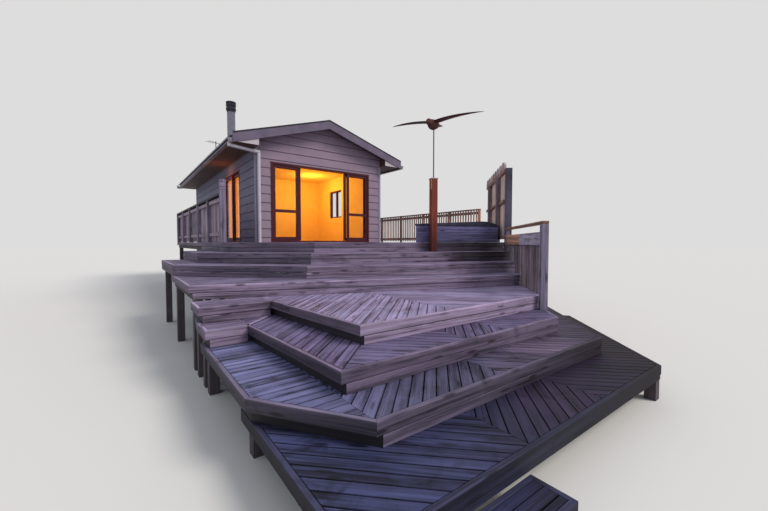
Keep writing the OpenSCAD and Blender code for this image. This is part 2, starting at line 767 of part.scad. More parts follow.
// Side doors: the same flat frame turned to the left wall, across running back along Y
module on_left_wall() multmatrix([[0, 1, 0, 0], [1, 0, 0, 0], [0, 0, 1, 0], [0, 0, 0, 1]])
  children();
side_fixed_h = side_top - sill_h;
side_leaf_h = side_top - leaf_gap - leaf_z0;
module side_door_frame() color(frame_colour) on_left_wall()
  translate([side_door_y, 0, floor_z]) {
    door_surround(side_door_w, side_door_h);
    translate([side_door_w - jamb_w - side_fixed_w, outer_plane, sill_h])
      sash(side_fixed_w, side_fixed_h, stile_w);
  }
module side_fixed_glass() color(glass_colour) on_left_wall()
  translate([side_y1 - side_fixed_w, outer_plane, floor_z + sill_h])
    sash_glass(side_fixed_w, side_fixed_h, stile_w);
module side_leaf_place() on_left_wall()
  translate([side_y0 + leaf_gap, inner_plane, floor_z + leaf_z0]) children();
module side_leaf() color(frame_colour) side_leaf_place() {
  sash(side_leaf_w, side_leaf_h, stile_w);
  rollers(side_leaf_w);
  pull(stile_w / 2 - pull_w / 2);
}
module side_leaf_glass() color(glass_colour)
  side_leaf_place() sash_glass(side_leaf_w, side_leaf_h, stile_w);

window_bar = 45;
window_h = window_head - window_sill;
module window_frame() difference() {
  translate([0, -10, 0]) cube([window_w, wall_t * 0.6 + 10, window_h]);
  for (i = [0:1])
    translate([window_bar + i * (window_w - window_bar) / 2, -11, window_bar])
      cube([(window_w - 3 * window_bar) / 2, wall_t + 2, window_h - 2 * window_bar]);
}
module window_sheet() for (i = [0:1])
  translate([window_bar + i * (window_w - window_bar) / 2, wall_t * 0.2, window_bar])
    cube([(window_w - 3 * window_bar) / 2, glass_t, window_h - 2 * window_bar]);
module at_right_window() translate([house_w, window_y, floor_z + window_sill])
  rotate(90) children();
module at_back_window() translate([back_window_x + window_w, house_l, floor_z + window_sill])
  rotate(180) children();
module window_frames() color(frame_colour) {
  at_right_window() window_frame();
  at_back_window() window_frame();
}
module window_glass() color(glass_colour) {
  at_right_window() window_sheet();
  at_back_window() window_sheet();
}

// Deck levels and terraces

module upper_deck() color(deck_colour) deck_level(upper_outline, floor_z, riser);
module left_side_deck() color(deck_colour)
  deck_level(left_side_outline, floor_z, riser);
module right_side_deck() color(deck_colour)
  deck_level(right_side_outline, floor_z, riser);
module stair_step_one() color(deck_colour)
  deck_level(step_one_outline, level(1), riser);
module stair_step_two() color(deck_colour)
  deck_level(step_two_outline, level(2), riser);
module stair_landing() color(deck_colour)
  deck_level(landing_outline, level(3), riser);
module terrace_one() color(deck_colour) deck_level(first_outline, level(4), riser);
module terrace_two() color(deck_colour) deck_level(second_outline, level(5), riser);
module terrace_three() color(deck_colour) deck_level(third_outline, level(6), riser);
module terrace_four() color(deck_colour)
  deck_level(fourth_outline, level(7), low_fascia_h);
module bottom_step() color(deck_colour) deck_level(bottom_outline, level(8), riser);

module side_treads() color(deck_colour) {
  deck_level(upper_tread_outline, level(4), riser);
  deck_level(lower_tread_outline, level(5), riser);
}

// Posts stand under the lower fascia, a little behind its face
module post_at(p, top) translate([p[0] - post_w / 2, p[1] - post_w / 2, 0])
  cube([post_w, post_w, top]);
module posts_under(p, corners, top, face_h = riser) {
  spots = inset(p, plus(toes(p), post_w / 2 + post_face));
  for (i = corners) post_at(spots[i], top - face_h);
}
module deck_posts() color(dark_timber) {
  posts_under(upper_outline, [0, 4, 5], floor_z);
  posts_under(left_side_outline, [0], floor_z);
  posts_under(right_side_outline, [3], floor_z);
  posts_under(step_one_outline, [5], level(1));
  posts_under(step_two_outline, [0, 5], level(2));
  posts_under(landing_outline, [0, 1], level(3));
  posts_under(first_outline, [0], level(4));
  posts_under(upper_tread_outline, [0], level(4));
  posts_under(second_outline, [0], level(5));
  posts_under(lower_tread_outline, [0], level(5));
  posts_under(third_outline, [0, 5], level(6));
  posts_under(fourth_outline, [0, 1, 2, 3], level(7), low_fascia_h);
}

// Fences and screens

left_fence_x = -deck_left;
fence_foot = -1960;
fence_post_w = 100;
// Boards and rails hang on the house side of the posts
module left_fence() color(deck_colour) {
  run = side_deck_l - fence_foot;
  n = floor((run - fence_post_w) / (fence_board_w + 8));
  board_t = 25;
  translate([left_fence_x, fence_foot, floor_z]) {
    cube([fence_post_w, fence_post_w, left_post_h]);
    for (i = [1:fence_bays]) translate([0, i * (run - fence_post_w) / fence_bays, 0])
      cube([fence_post_w, fence_post_w, left_fence_h - 20]);
    translate([0, 0, left_fence_h - 20]) cube([fence_post_w + 10, run, 40]);
    for (z = [120, left_fence_h - 130])
      translate([fence_post_w - board_t - 45, 0, z]) cube([45, run, 70]);
    for (i = [0:n - 1])
      translate([fence_post_w - board_t, 50 + i * (run - fence_post_w) / n, 15])
        cube([board_t, fence_board_w, left_fence_h - 35]);
    translate([-8, -6, left_post_h - 190]) cube([90, 40, 120]);
  }
}

picket_y0 = deck_right - diagonal_x;
picket_run = side_deck_l - picket_y0;
module picket_fence() color(fence_colour)
  translate([deck_right - fence_post_w, picket_y0 + 60, floor_z]) {
    run = picket_run - 60;
    for (i = [0:picket_bays])
      translate([0, i * (run - fence_post_w) / picket_bays, 0])
        cube([fence_post_w, fence_post_w, picket_h - 35]);
    translate([-10, 0, picket_h - 35]) cube([fence_post_w + 10, run, 35]);
    for (z = [90, picket_h - 160]) translate([30, 0, z]) cube([40, run, 80]);
    for (i = [0:floor((run - picket_w) / picket_step)])
      translate([5, i * picket_step, 40]) cube([25, picket_w, picket_h - 75]);
  }

// Screens stand on the diagonal edge, measured from the end of the first terrace
module on_diagonal() translate([end_one[0], end_one[1], 0]) rotate(45) children();

screen_line = 65;
module tall_screen() color(deck_colour) on_diagonal()
  translate([screen_start, 0, floor_z]) {
    w = screen_post_w;
    bay = (screen_l - w) / screen_bays;
    cap_z = screen_h - 60;
    rail_z = screen_h * 0.56;
    // The near post stands on the stair, in line with the boards
    translate([0, screen_line - w - 15, -riser]) cube([w, w, cap_z + riser]);
    for (i = [1:screen_bays]) translate([i * bay, screen_line, 0]) cube([w, w, cap_z]);
    translate([w, screen_line, cap_z - 80]) cube([screen_l - 2 * w, 40, 80]);
    translate([-20, screen_line - w - 30, cap_z]) cube([screen_l + 40, w + 150, 25]);
    for (z = [60, rail_z - 60])
      translate([w, screen_line, z]) cube([screen_l - 2 * w, 45, 60]);
    translate([w / 2, screen_line - 15, 80]) cube([screen_l - w, 15, cap_z - 80]);
    n = floor(screen_l / 100);
    for (i = [0:n - 1]) translate([i * screen_l / n, screen_line - w - 20, cap_z + 20])
      cube([82, w + 130, 40]);
  }

// The stair screen steps down with the stair beside it
function reach(p) = (p[0] - end_one[0]) * sqrt(2);
function tread_at(s) =
  s < reach(landing_end) - 90 ? level(4)
  : s < reach(meets_diagonal(step_corner(2))) - 90 ? level(3)
  : s < reach(meets_diagonal(step_corner(1))) - 90 ? level(2) : level(1);
module stair_screen() color(fence_colour) on_diagonal() {
  w = stair_post_w;
  near = -2 * w - 5;
  far = screen_start - 30;
  top = floor_z + stair_post_h;
  box_top = floor_z + 135;
  box_bottom = floor_z - 40;
  rail_t = 40;
  translate([near, 0, level(5)]) cube([w, w, top - level(5)]);
  translate([near, -5, top]) cube([far - near, w + 10, rail_t]);
  translate([near + w, 5, box_bottom]) cube([far - near - w, w - 10, box_top - box_bottom]);
  translate([far - 80, 20, box_top]) cube([80, 60, top - box_top]);
  for (s = [w : batten_step : far - batten_w])
    translate([s, w / 2 - 10, tread_at(s)]) cube([batten_w, 20, box_bottom - tread_at(s)]);
}

module along_stair() translate([deck_corner[0], deck_corner[1], 0])
  rotate(-stair_angle_right) children();
// The surround fills the corner between the deck's front edge and the tall screen
surround_gap = 10;
surround_lid = 30;
surround_lip = 12;
surround_right = screen_line + screen_post_w + surround_gap;
stair_run = [cos(stair_angle_right), -sin(stair_angle_right)];
surround_corner = deck_corner + surround_start * stair_run;
surround_left = inward_of(surround_corner);
surround_front = along_of(surround_corner)
  + (surround_left - surround_right) / tan(45 + stair_angle_right);
surround_outline = [
  [surround_front, surround_right], [surround_front + surround_d, surround_right],
  [surround_front + surround_d, surround_left], [along_of(surround_corner), surround_left]
];
function along_of(p) = (p - end_one) * [cos(45), sin(45)];
function inward_of(p) = (p - end_one) * [-sin(45), cos(45)];
// Its lid rises from both sides to a crown a fifth of the way across
surround_w = surround_left - surround_right;
crown = 0.2;
function lid_height(t) = surround_end_h + (surround_h - surround_end_h)
  * (t < crown ? 1 - pow(1 - t / crown, 2) : (1 - t) / (1 - crown));
// Its cross-section, from the lid's surface less one depth down to a level or another depth
module surround_section(top, bottom) {
  lip_w = surround_w + 2 * surround_lip;
  ts = [0, 0.04, 0.08, 0.12, 0.16, crown, 1];
  upper = [for (t = ts) [surround_right - surround_lip + t * lip_w, lid_height(t) - top]];
  lower = [for (p = upper) [p[0], bottom < 0 ? p[1] + top + bottom : bottom]];
  polygon(concat(upper, [for (i = [len(ts) - 1:-1:0]) lower[i]]));
}
module surround_layer(outline, top, bottom) intersection() {
  linear_extrude(surround_h + 1) polygon(outline);
  rotate([90, 0, 90]) linear_extrude(surround_front + surround_d + 2 * surround_lip)
    surround_section(top, bottom);
}
module raised_surround() color(dark_timber) on_diagonal() translate([0, 0, floor_z]) {
  difference() {
    surround_layer(surround_outline, surround_lid, 0);
    translate([0, 0, -1]) linear_extrude(surround_end_h - surround_lid - 30)
      polygon(inset(surround_outline, all_edges(surround_outline, 60)));
  }
  lips = [0, -surround_lip, -surround_lip, -surround_lip];
  surround_layer(inset(surround_outline, lips), 0, -surround_lid);
}

red_post_s = 2205;
red_post_gap = 35;
module at_red_post() along_stair()
  translate([red_post_s, -red_post_gap - red_post_w / 2, 0]) children();
module red_post() color([0.62, 0.22, 0.10]) at_red_post() {
  translate([-red_post_w / 2, -red_post_w / 2, level(1)])
    cube([red_post_w, red_post_w, red_post_h + riser - 20]);
  translate([-red_post_w / 2 - 8, -red_post_w / 2 - 8, floor_z + red_post_h - 20])
    cube([red_post_w + 16, red_post_w + 16, 20]);
}

// A plain soaring bird on a rod: a body turned from one profile and two swept wings
body_l = bird_span * 0.22;
body_d = bird_span * 0.07;
module wing_blade(x, chord, sweep, lift) translate([x, -sweep, lift])
  scale([1, chord, chord * 0.14]) sphere(d = 1, $fn = 12);
module wing() {
  root = [body_d * 0.2, body_l * 0.42, -body_l * 0.03, body_d * 0.15];
  mid = [bird_span * 0.25, body_l * 0.34, -body_l * 0.16, bird_span * 0.040];
  tip = [bird_span * 0.5, body_l * 0.08, body_l * 0.10, bird_span * 0.030];
  hull() {
    wing_blade(root[0], root[1], root[2], root[3]);
    wing_blade(mid[0], mid[1], mid[2], mid[3]);
  }
  hull() {
    wing_blade(mid[0], mid[1], mid[2], mid[3]);
    wing_blade(tip[0], tip[1], tip[2], tip[3]);
  }
}
bird_turn = -79;
bird_roll = 5;
module bird_vane() color([0.30, 0.17, 0.13]) at_red_post() {
  translate([0, 0, floor_z + red_post_h])
    cylinder(d = rod_d, h = bird_h - red_post_h - body_d * 0.2);
  translate([0, 0, floor_z + bird_h]) rotate(stair_angle_right + bird_turn)
    rotate([0, bird_roll, 0]) {
      rotate([-90, 0, 0]) translate([0, 0, -body_l / 2]) rotate_extrude()
        polygon([
          for (i = [0:12]) let (t = i / 12)
            [body_d / 2 * pow(sin(180 * pow(t, 0.75)), 0.8), t * body_l]
        ]);
      wing();
      mirror([1, 0, 0]) wing();
    }
}

house_piles();
floor_platform();
base_boards();
front_wall_left();
front_wall_right();
front_gable();
left_wall_front();
left_wall_back();
left_wall_head();
right_wall();
back_wall();
living_room_wall();
ceiling();
roof_left();
roof_right();
ridge_cap();
barge_boards();
eave_boxes();
gutters();
downpipe();
flue();
flue_cowl();
tv_aerial();
front_door_frame();
front_fixed_glass();
front_leaf_left();
front_leaf_left_glass();
front_leaf_right();
front_leaf_right_glass();
side_door_frame();
side_fixed_glass();
side_leaf();
side_leaf_glass();
window_frames();
window_glass();
upper_deck();
left_side_deck();
right_side_deck();
stair_step_one();
stair_step_two();
stair_landing();
terrace_one();
terrace_two();
terrace_three();
terrace_four();
bottom_step();
side_treads();
deck_posts();
left_fence();
picket_fence();
tall_screen();
stair_screen();
raised_surround();
red_post();
bird_vane();
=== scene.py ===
import math
import random

import bpy
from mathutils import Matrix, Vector


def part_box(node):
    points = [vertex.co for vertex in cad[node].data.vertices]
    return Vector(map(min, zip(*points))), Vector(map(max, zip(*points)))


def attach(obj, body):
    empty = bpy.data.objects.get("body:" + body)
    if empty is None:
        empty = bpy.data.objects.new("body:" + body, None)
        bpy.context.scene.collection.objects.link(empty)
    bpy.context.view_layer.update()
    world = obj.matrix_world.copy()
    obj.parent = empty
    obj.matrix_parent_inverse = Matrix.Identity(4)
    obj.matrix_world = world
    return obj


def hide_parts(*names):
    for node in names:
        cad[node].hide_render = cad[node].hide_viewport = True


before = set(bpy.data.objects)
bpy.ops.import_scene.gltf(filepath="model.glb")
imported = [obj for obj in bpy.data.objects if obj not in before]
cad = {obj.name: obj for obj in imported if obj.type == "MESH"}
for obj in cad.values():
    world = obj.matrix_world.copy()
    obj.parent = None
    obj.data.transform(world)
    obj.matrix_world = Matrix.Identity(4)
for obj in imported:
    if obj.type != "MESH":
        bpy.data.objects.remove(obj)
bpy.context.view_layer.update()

chance = random.Random(11)
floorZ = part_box("upper_deck")[1][2]
riser = 0.175  # from one deck level to the next
past = 0.1  # how far a board runs on before it is trimmed
clear = 0.001  # between pieces that meet
finish = {}
slotOf = {"left_fence": "fence_timber", "picket_fence": "picket_timber",
          "tall_screen": "screen_timber", "stair_screen": "screen_timber",
          "raised_surround": "surround_timber"}


def deselectAll():
    if bpy.context.object and bpy.context.object.mode != "OBJECT":
        bpy.ops.object.mode_set(mode="OBJECT")
    bpy.ops.object.select_all(action="DESELECT")


def pickOnly(obj):
    deselectAll()
    obj.select_set(True)
    bpy.context.view_layer.objects.active = obj


def startEdit(obj, action="SELECT"):
    pickOnly(obj)
    bpy.ops.object.mode_set(mode="EDIT")
    bpy.ops.mesh.select_all(action=action)


def endEdit():
    bpy.ops.object.mode_set(mode="OBJECT")


def pickVertices(obj, test):
    # leaves the object in edit mode
    startEdit(obj, "DESELECT")
    endEdit()
    for vertex in obj.data.vertices:
        vertex.select = test(vertex)
    bpy.ops.object.mode_set(mode="EDIT")


def moveVertices(obj, test, shift):
    pickVertices(obj, test)
    bpy.ops.transform.translate(value=shift)
    endEdit()


def applyPlace(obj):
    pickOnly(obj)
    bpy.ops.object.transform_apply(location=True, rotation=True, scale=True)
    return obj


def placed(obj, shift=(0, 0, 0), turn=(0, 0, 0), scale=(1, 1, 1)):
    obj.location, obj.rotation_euler, obj.scale = shift, turn, scale
    return applyPlace(obj)


def turned(obj, angle, shift=(0, 0, 0)):
    return placed(obj, shift, (0, 0, angle))


def applyModifier(obj, kind, **settings):
    pickOnly(obj)
    modifier = obj.modifiers.new("shape", kind)
    for name, value in settings.items():
        setattr(modifier, name, value)
    bpy.ops.object.modifier_apply(modifier=modifier.name)
    return obj


def dropLayers(obj):
    for layers in (obj.data.uv_layers, obj.data.color_attributes):
        while layers:
            layers.remove(layers[0])
    return obj


def addBlock(low, high, soft=0.0):
    deselectAll()
    bpy.ops.mesh.primitive_cube_add(size=1)
    block = dropLayers(placed(bpy.context.object, [(a + b) / 2 for a, b in zip(low, high)],
                              scale=[b - a for a, b in zip(low, high)]))
    return softenEdges(block, soft) if soft else block


def addRod(start, end, radius, sides=16, endRadius=None):
    deselectAll()
    run = Vector(end) - Vector(start)
    bpy.ops.mesh.primitive_cone_add(
        vertices=sides, radius1=radius, radius2=radius if endRadius is None else endRadius,
        depth=run.length, location=(Vector(start) + Vector(end)) / 2,
        rotation=run.to_track_quat("Z", "Y").to_euler())
    return dropLayers(applyPlace(bpy.context.object))


def softenEdges(obj, width, segments=2, angle=40):
    return applyModifier(obj, "BEVEL", width=width, segments=segments, limit_method="ANGLE",
                         angle_limit=math.radians(angle))


def repeatRow(obj, count, step, merge=False):
    applyModifier(obj, "ARRAY", count=count, use_relative_offset=False,
                  use_constant_offset=True, constant_offset_displace=step,
                  use_merge_vertices=merge, merge_threshold=0.0002)


def cutOff(obj, point, outward):
    startEdit(obj)
    bpy.ops.mesh.bisect(plane_co=point, plane_no=Vector(outward).normalized(), use_fill=True,
                        clear_outer=True)
    endEdit()


def faceOut(obj):
    startEdit(obj)
    bpy.ops.mesh.normals_make_consistent(inside=False)
    endEdit()
    return obj


def duplicated(obj):
    twin = obj.copy()
    twin.data = obj.data.copy()
    bpy.context.collection.objects.link(twin)
    return twin


def joined(parts, name):
    for part in [part for part in parts if not len(part.data.vertices)]:
        parts.remove(part)
        bpy.data.objects.remove(part)
    pickOnly(parts[0])
    for part in parts[1:]:
        part.select_set(True)
    if len(parts) > 1:
        bpy.ops.object.join()
    parts[0].name = parts[0].data.name = name
    return parts[0]


def smoothed(obj, angle=35):
    pickOnly(obj)
    bpy.ops.object.shade_smooth_by_angle(angle=math.radians(angle))
    return obj


def finished(obj, look, slotName, *nodes):
    obj.data.materials.clear()
    obj.data.materials.append(finish[look])
    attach(obj, "house")
    if nodes:
        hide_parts(*nodes)


# each loose board of a mesh gets its own grain place and tone, and how much painted shade it takes
def islandRoots(mesh):
    roots = list(range(len(mesh.vertices)))

    def rootOf(i):
        while roots[i] != i:
            roots[i] = roots[roots[i]]
            i = roots[i]
        return i

    for edge in mesh.edges:
        a, b = rootOf(edge.vertices[0]), rootOf(edge.vertices[1])
        if a != b:
            roots[max(a, b)] = min(a, b)
    return [rootOf(i) for i in range(len(mesh.vertices))]


def tagBoards(obj, along=(0, 0, 1), across=(1, 0, 0), sink=0.0, litShare=1.0):
    mesh = obj.data
    along, across = Vector(along).normalized(), Vector(across).normalized()
    third = along.cross(across).normalized()
    roots = islandRoots(mesh)
    spans = {}
    for vertex in mesh.vertices:
        v, w = vertex.co.dot(across), vertex.co.dot(third)
        span = spans.setdefault(roots[vertex.index], [v, v, w])
        span[0], span[1], span[2] = min(span[0], v), max(span[1], v), max(span[2], w)
    marks = {root: (chance.random(), chance.random(), chance.random()) for root in sorted(spans)}
    if sink:
        for vertex in mesh.vertices:
            vertex.co.z -= sink * marks[roots[vertex.index]][2]
    dropLayers(obj)
    mesh.uv_layers.new(name="grain")
    mesh.color_attributes.new(name="board", type="FLOAT_COLOR", domain="CORNER")
    layer, tone = mesh.uv_layers["grain"], mesh.color_attributes["board"]
    for loop in mesh.loops:
        vertex = mesh.vertices[loop.vertex_index]
        low, high, front = spans[roots[vertex.index]]
        v = vertex.co.dot(across) - (low + high) / 2 + vertex.co.dot(third) - front
        layer.data[loop.index].uv = (vertex.co.dot(along), v)
        tone.data[loop.index].color = marks[roots[vertex.index]] + (litShare,)
    return obj


def boardPiece(parts, name, look, node, along=(0, 0, 1), across=(1, 0, 0)):
    finished(tagBoards(joined(parts, name), along, across), look, slotOf[node], node)


# flat outlines, counterclockwise, as lists of (x, y)
def cross(a, b, p):
    return (b[0] - a[0]) * (p[1] - a[1]) - (b[1] - a[1]) * (p[0] - a[0])


def edgesOf(outline):
    return list(zip(outline, outline[1:] + outline[:1]))


def runOf(p, q):
    return Vector((q[0] - p[0], q[1] - p[1])).normalized()


def hullOf(points):
    points = sorted(set(points))

    def half(run):
        chain = []
        for p in run:
            while len(chain) > 1 and cross(chain[-2], chain[-1], p) <= 1e-5:
                chain.pop()
            chain.append(p)
        return chain[:-1]

    return half(points) + half(points[::-1])


def outlineAt(node, z):
    return hullOf([(round(v.co.x, 4), round(v.co.y, 4)) for v in cad[node].data.vertices
                   if abs(v.co.z - z) < 0.002])


def keepLeft(points, a, b):
    kept = []
    for p, q in edgesOf(points):
        sideP, sideQ = cross(a, b, p), cross(a, b, q)
        if sideP >= 0:
            kept.append(p)
        if sideP * sideQ < 0:
            t = sideP / (sideP - sideQ)
            kept.append((p[0] + t * (q[0] - p[0]), p[1] + t * (q[1] - p[1])))
    # corners that nearly coincide would spoil a later inset
    return [p for p, last in zip(kept, kept[-1:] + kept[:-1]) if math.dist(p, last) > 0.004]


def insetBy(points, distances):
    if not isinstance(distances, list):
        distances = [distances] * len(points)
    lines = []
    for (p, q), d in zip(edgesOf(points), distances):
        run = runOf(p, q)
        lines.append((Vector(p) + d * Vector((-run.y, run.x)), run))
    corners = []
    for (a, u), (b, v) in zip(lines[-1:] + lines[:-1], lines):
        t = ((b - a).x * v.y - (b - a).y * v.x) / (u.x * v.y - u.y * v.x)
        corners.append(tuple(a + t * u))
    return corners


def trimTo(obj, outline):
    for p, q in edgesOf(outline):
        if math.dist(p, q) > 1e-4:
            cutOff(obj, (p[0], p[1], 0), (q[1] - p[1], p[0] - q[0], 0))
    return obj


# materials, built node by node
def tint(code):
    parts = [int(code[i:i + 2], 16) / 255 for i in (0, 2, 4)]
    return [p / 12.92 if p <= 0.04045 else ((p + 0.055) / 1.055) ** 2.4 for p in parts] + [1]


def toned(code, share):
    return [part * share for part in tint(code)[:3]] + [1]


def addNode(tree, kind, sockets=None, **settings):
    made = tree.nodes.new("ShaderNode" + kind)
    for name, value in settings.items():
        setattr(made, name, value)
    for name, value in (sockets or {}).items():
        if isinstance(value, bpy.types.NodeSocket):
            tree.links.new(value, made.inputs[name])
        else:
            made.inputs[name].default_value = value
    return made


def startMaterial(name, **sockets):
    material = bpy.data.materials.new(name)
    material.use_nodes = True
    tree = material.node_tree
    shader = tree.nodes["Principled BSDF"]
    for key, value in sockets.items():
        shader.inputs[key.replace("_", " ")].default_value = value
    finish[name] = material
    return tree, shader


def endMaterial(tree, shader, colour, height=None, distance=0.0, strength=0.6):
    tree.links.new(colour, shader.inputs["Base Color"])
    if height:
        made = addNode(tree, "Bump", {"Height": height, "Distance": distance,
                                      "Strength": strength})
        tree.links.new(made.outputs[0], shader.inputs["Normal"])


def objectPlace(tree, scale=(1, 1, 1), turn=(0, 0, 0)):
    coords = addNode(tree, "TexCoord")
    return addNode(tree, "Mapping", {"Vector": coords.outputs["Object"], "Scale": scale,
                                     "Rotation": turn}).outputs[0]


def axisOf(tree, place, axis):
    return addNode(tree, "SeparateXYZ", {0: place}).outputs[axis]


def boardAttribute(tree):
    return addNode(tree, "Attribute", attribute_name="board")


def acrossBoard(tree):
    # metres from the middle of the board
    return axisOf(tree, addNode(tree, "UVMap", uv_map="grain").outputs[0], 1)


def grainPlace(tree, along, across):
    uv = addNode(tree, "UVMap", uv_map="grain")
    wide = addNode(tree, "VectorMath", {0: uv.outputs[0], 1: (along, across, 1)},
                   operation="MULTIPLY")
    return addNode(tree, "VectorMath", {0: boardAttribute(tree).outputs["Vector"],
                                        1: (43, 37, 51), 2: wide.outputs[0]},
                   operation="MULTIPLY_ADD").outputs[0]


def noise(tree, place, scale, detail=4, rough=0.55, distortion=0.0):
    return addNode(tree, "TexNoise", {
        "Vector": place, "Scale": scale, "Detail": detail, "Roughness": rough,
        "Distortion": distortion}).outputs["Fac"]


def calc(tree, operation, a, b=0.0, c=0.0):
    return addNode(tree, "Math", {0: a, 1: b, 2: c}, operation=operation).outputs[0]


def ramp(tree, factor, stops):
    made = addNode(tree, "ValToRGB", {0: factor})
    line = made.color_ramp
    while len(line.elements) < len(stops):
        line.elements.new(0.5)
    for element, (place, colour) in zip(line.elements, stops):
        element.position = place
        if isinstance(colour, str):
            colour = tint(colour)
        element.color = (colour,) * 3 + (1,) if isinstance(colour, float) else colour
    return made.outputs["Color"]


def mixed(tree, factor, a, b, blend="MIX"):
    made = addNode(tree, "Mix", data_type="RGBA", blend_type=blend)
    for place, value in ((0, factor), (6, a), (7, b)):
        if isinstance(value, bpy.types.NodeSocket):
            tree.links.new(value, made.inputs[place])
        else:
            made.inputs[place].default_value = tint(value) if isinstance(value, str) else value
    return made.outputs[2]


def times(tree, a, b):
    return mixed(tree, 1.0, a, b, "MULTIPLY")


def overlaid(tree, base, colour, factor, *stops):
    return mixed(tree, ramp(tree, factor, stops), base, colour)


def onFaces(tree, axis, sign, base, colour):
    # another colour on the faces that look one way
    face = addNode(tree, "NewGeometry")
    toward = calc(tree, "MULTIPLY", axisOf(tree, face.outputs["Normal"], axis), sign)
    return overlaid(tree, base, colour, toward, (0.72, 0.0), (0.86, 1.0))


# weathered boards: grain runs along each board, every board has its own tone
def boardTimber(name, mean, sheen, stainAndShade, sheenShare, dampShare, spread=0.36, grain=(2.4, 85),
                contrast=0.5, knots=0.8, grooves=0.0, top=None, region=None, halfWide=0.0,
                crest=0.0):
    tree, shader = startMaterial(name, Roughness=0.62)
    dark, light = toned(mean, 1 - contrast), toned(mean, 1 + contrast)
    fine = noise(tree, grainPlace(tree, *grain), 1.0, 6, 0.62, 0.4)
    streak = noise(tree, grainPlace(tree, 0.8, 24), 1.0, 4, 0.6, 0.5)
    wood = overlaid(tree, dark, light, streak, (0.36, 0.0), (0.62, 1.0))
    wood = times(tree, wood, ramp(tree, fine, [(0.3, 0.55), (0.54, 1.2), (0.76, 0.62)]))
    line = noise(tree, grainPlace(tree, 1.6, 52), 1.0, 2, 0.5)
    wood = overlaid(tree, wood, stainAndShade, line, (0.3, 0.65), (0.4, 0.0))
    height = fine
    if halfWide:  # darker along the edges beside the gaps
        side = calc(tree, "DIVIDE", calc(tree, "ABSOLUTE", acrossBoard(tree)), halfWide)
        wood = overlaid(tree, wood, stainAndShade, side, (0.86, 0.0), (0.98, 0.85))
    if grooves:
        wave = calc(tree, "SINE", calc(tree, "MULTIPLY", acrossBoard(tree),
                                       2 * math.pi / groovePitch))
        rib = ramp(tree, calc(tree, "MULTIPLY_ADD", wave, 0.5, 0.5), [(0.1, 0.0), (0.5, 1.0)])
        wood = mixed(tree, calc(tree, "MULTIPLY", calc(tree, "SUBTRACT", 1.0, rib), grooves),
                     wood, dark)
        height = calc(tree, "MULTIPLY_ADD", rib, 0.8, fine)
    mark = boardAttribute(tree)
    own = addNode(tree, "SeparateColor", {0: mark.outputs["Color"]}).outputs[0]
    wood = times(tree, wood, ramp(tree, own, [(0.0, 1 - spread), (1.0, 1.0 + spread * 0.4)]))
    # knots, then patches of painted sheen and wet stains
    cell = addNode(tree, "TexVoronoi", {"Vector": grainPlace(tree, 2.4, 12), "Scale": 1.0},
                   voronoi_dimensions="2D")
    knot = calc(tree, "MULTIPLY", ramp(tree, cell.outputs["Distance"], [(0.1, 1.0), (0.2, 0.0)]),
                ramp(tree, cell.outputs["Color"], [(0.52, 0.0), (0.56, knots)]))
    wood = mixed(tree, knot, wood, stainAndShade)
    patch = noise(tree, grainPlace(tree, 0.9, 7), 1.0, 4, 0.6, 0.4)
    blotch = noise(tree, objectPlace(tree), 1.9, 5, 0.6, 0.3)
    both = calc(tree, "MULTIPLY_ADD", patch, 0.5, calc(tree, "MULTIPLY", blotch, 0.5))
    wood = overlaid(tree, wood, sheen, both, (0.46, 0.0), (0.6, sheenShare))
    wet = noise(tree, objectPlace(tree, turn=(0, 0, 0.6)), 3.1, 6, 0.62, 0.6)
    wood = overlaid(tree, wood, stainAndShade, wet, (0.56, 0.0), (0.7, dampShare))
    if region:
        along, low, high, stops = region
        spot = addNode(tree, "VectorMath", {0: objectPlace(tree), 1: along},
                       operation="DOT_PRODUCT").outputs["Value"]
        place = calc(tree, "DIVIDE", calc(tree, "SUBTRACT", spot, low), high - low)
        place = calc(tree, "MULTIPLY_ADD", blotch, 0.2, calc(tree, "SUBTRACT", place, 0.1))
        wood = times(tree, wood, ramp(tree, place, stops))
    # left-facing and set-back edge boards take painted shade through the fourth channel of their
    # mark
    shadedWood = mixed(tree, mark.outputs["Alpha"], stainAndShade, wood)
    if crest:  # painted highlight along the top of each edge board, painted contact shadow and dirt along its foot
        level = calc(tree, "MULTIPLY_ADD", acrossBoard(tree), 10, 0.5)
        shadedWood = times(tree, shadedWood, ramp(tree, level, [
            (0.05, 0.45), (0.14, 1.0), (0.8, 1.0), (0.88, 1.0 + crest)]))
    # upward faces lighter than the sides: painted light from above
    if top:
        shadedWood = onFaces(tree, 2, 1.0, shadedWood, times(tree, wood, (top, top, top * 1.04, 1)))
    endMaterial(tree, shader, shadedWood, height, 0.0012, 0.7)


def paintedFinish(name, colour, worn, rough, scale, share, metallic=0.0, lapShade=0.0, ends=None):
    tree, shader = startMaterial(name, Roughness=rough, Metallic=metallic)
    patch = noise(tree, objectPlace(tree), scale, 6, 0.62, 0.5)
    fine = noise(tree, objectPlace(tree, (60, 60, 60)), 1.0, 4, 0.6)
    shade = overlaid(tree, colour, worn, patch, (0.4, 0.0), (0.72, share))
    shade = overlaid(tree, shade, worn, fine, (0.55, 0.0), (0.75, 0.25))
    if lapShade:  # painted shadow under each lap
        row = calc(tree, "SUBTRACT", axisOf(tree, objectPlace(tree), 2), claddingSettings["start"])
        row = calc(tree, "FRACT", calc(tree, "DIVIDE", row, claddingSettings["exposure"]))
        shade = overlaid(tree, shade, "2c2833", row, (0.86, 0.0), (0.94, lapShade), (1.0, lapShade))
        runs = noise(tree, objectPlace(tree, (14, 14, 0.8)), 1.0, 4, 0.6)
        shade = overlaid(tree, shade, worn, runs, (0.5, 0.0), (0.75, 0.3))
    if ends:
        shade = onFaces(tree, 1, -1.0, shade, ends)
    endMaterial(tree, shader, shade, fine, 0.0004, 0.5)


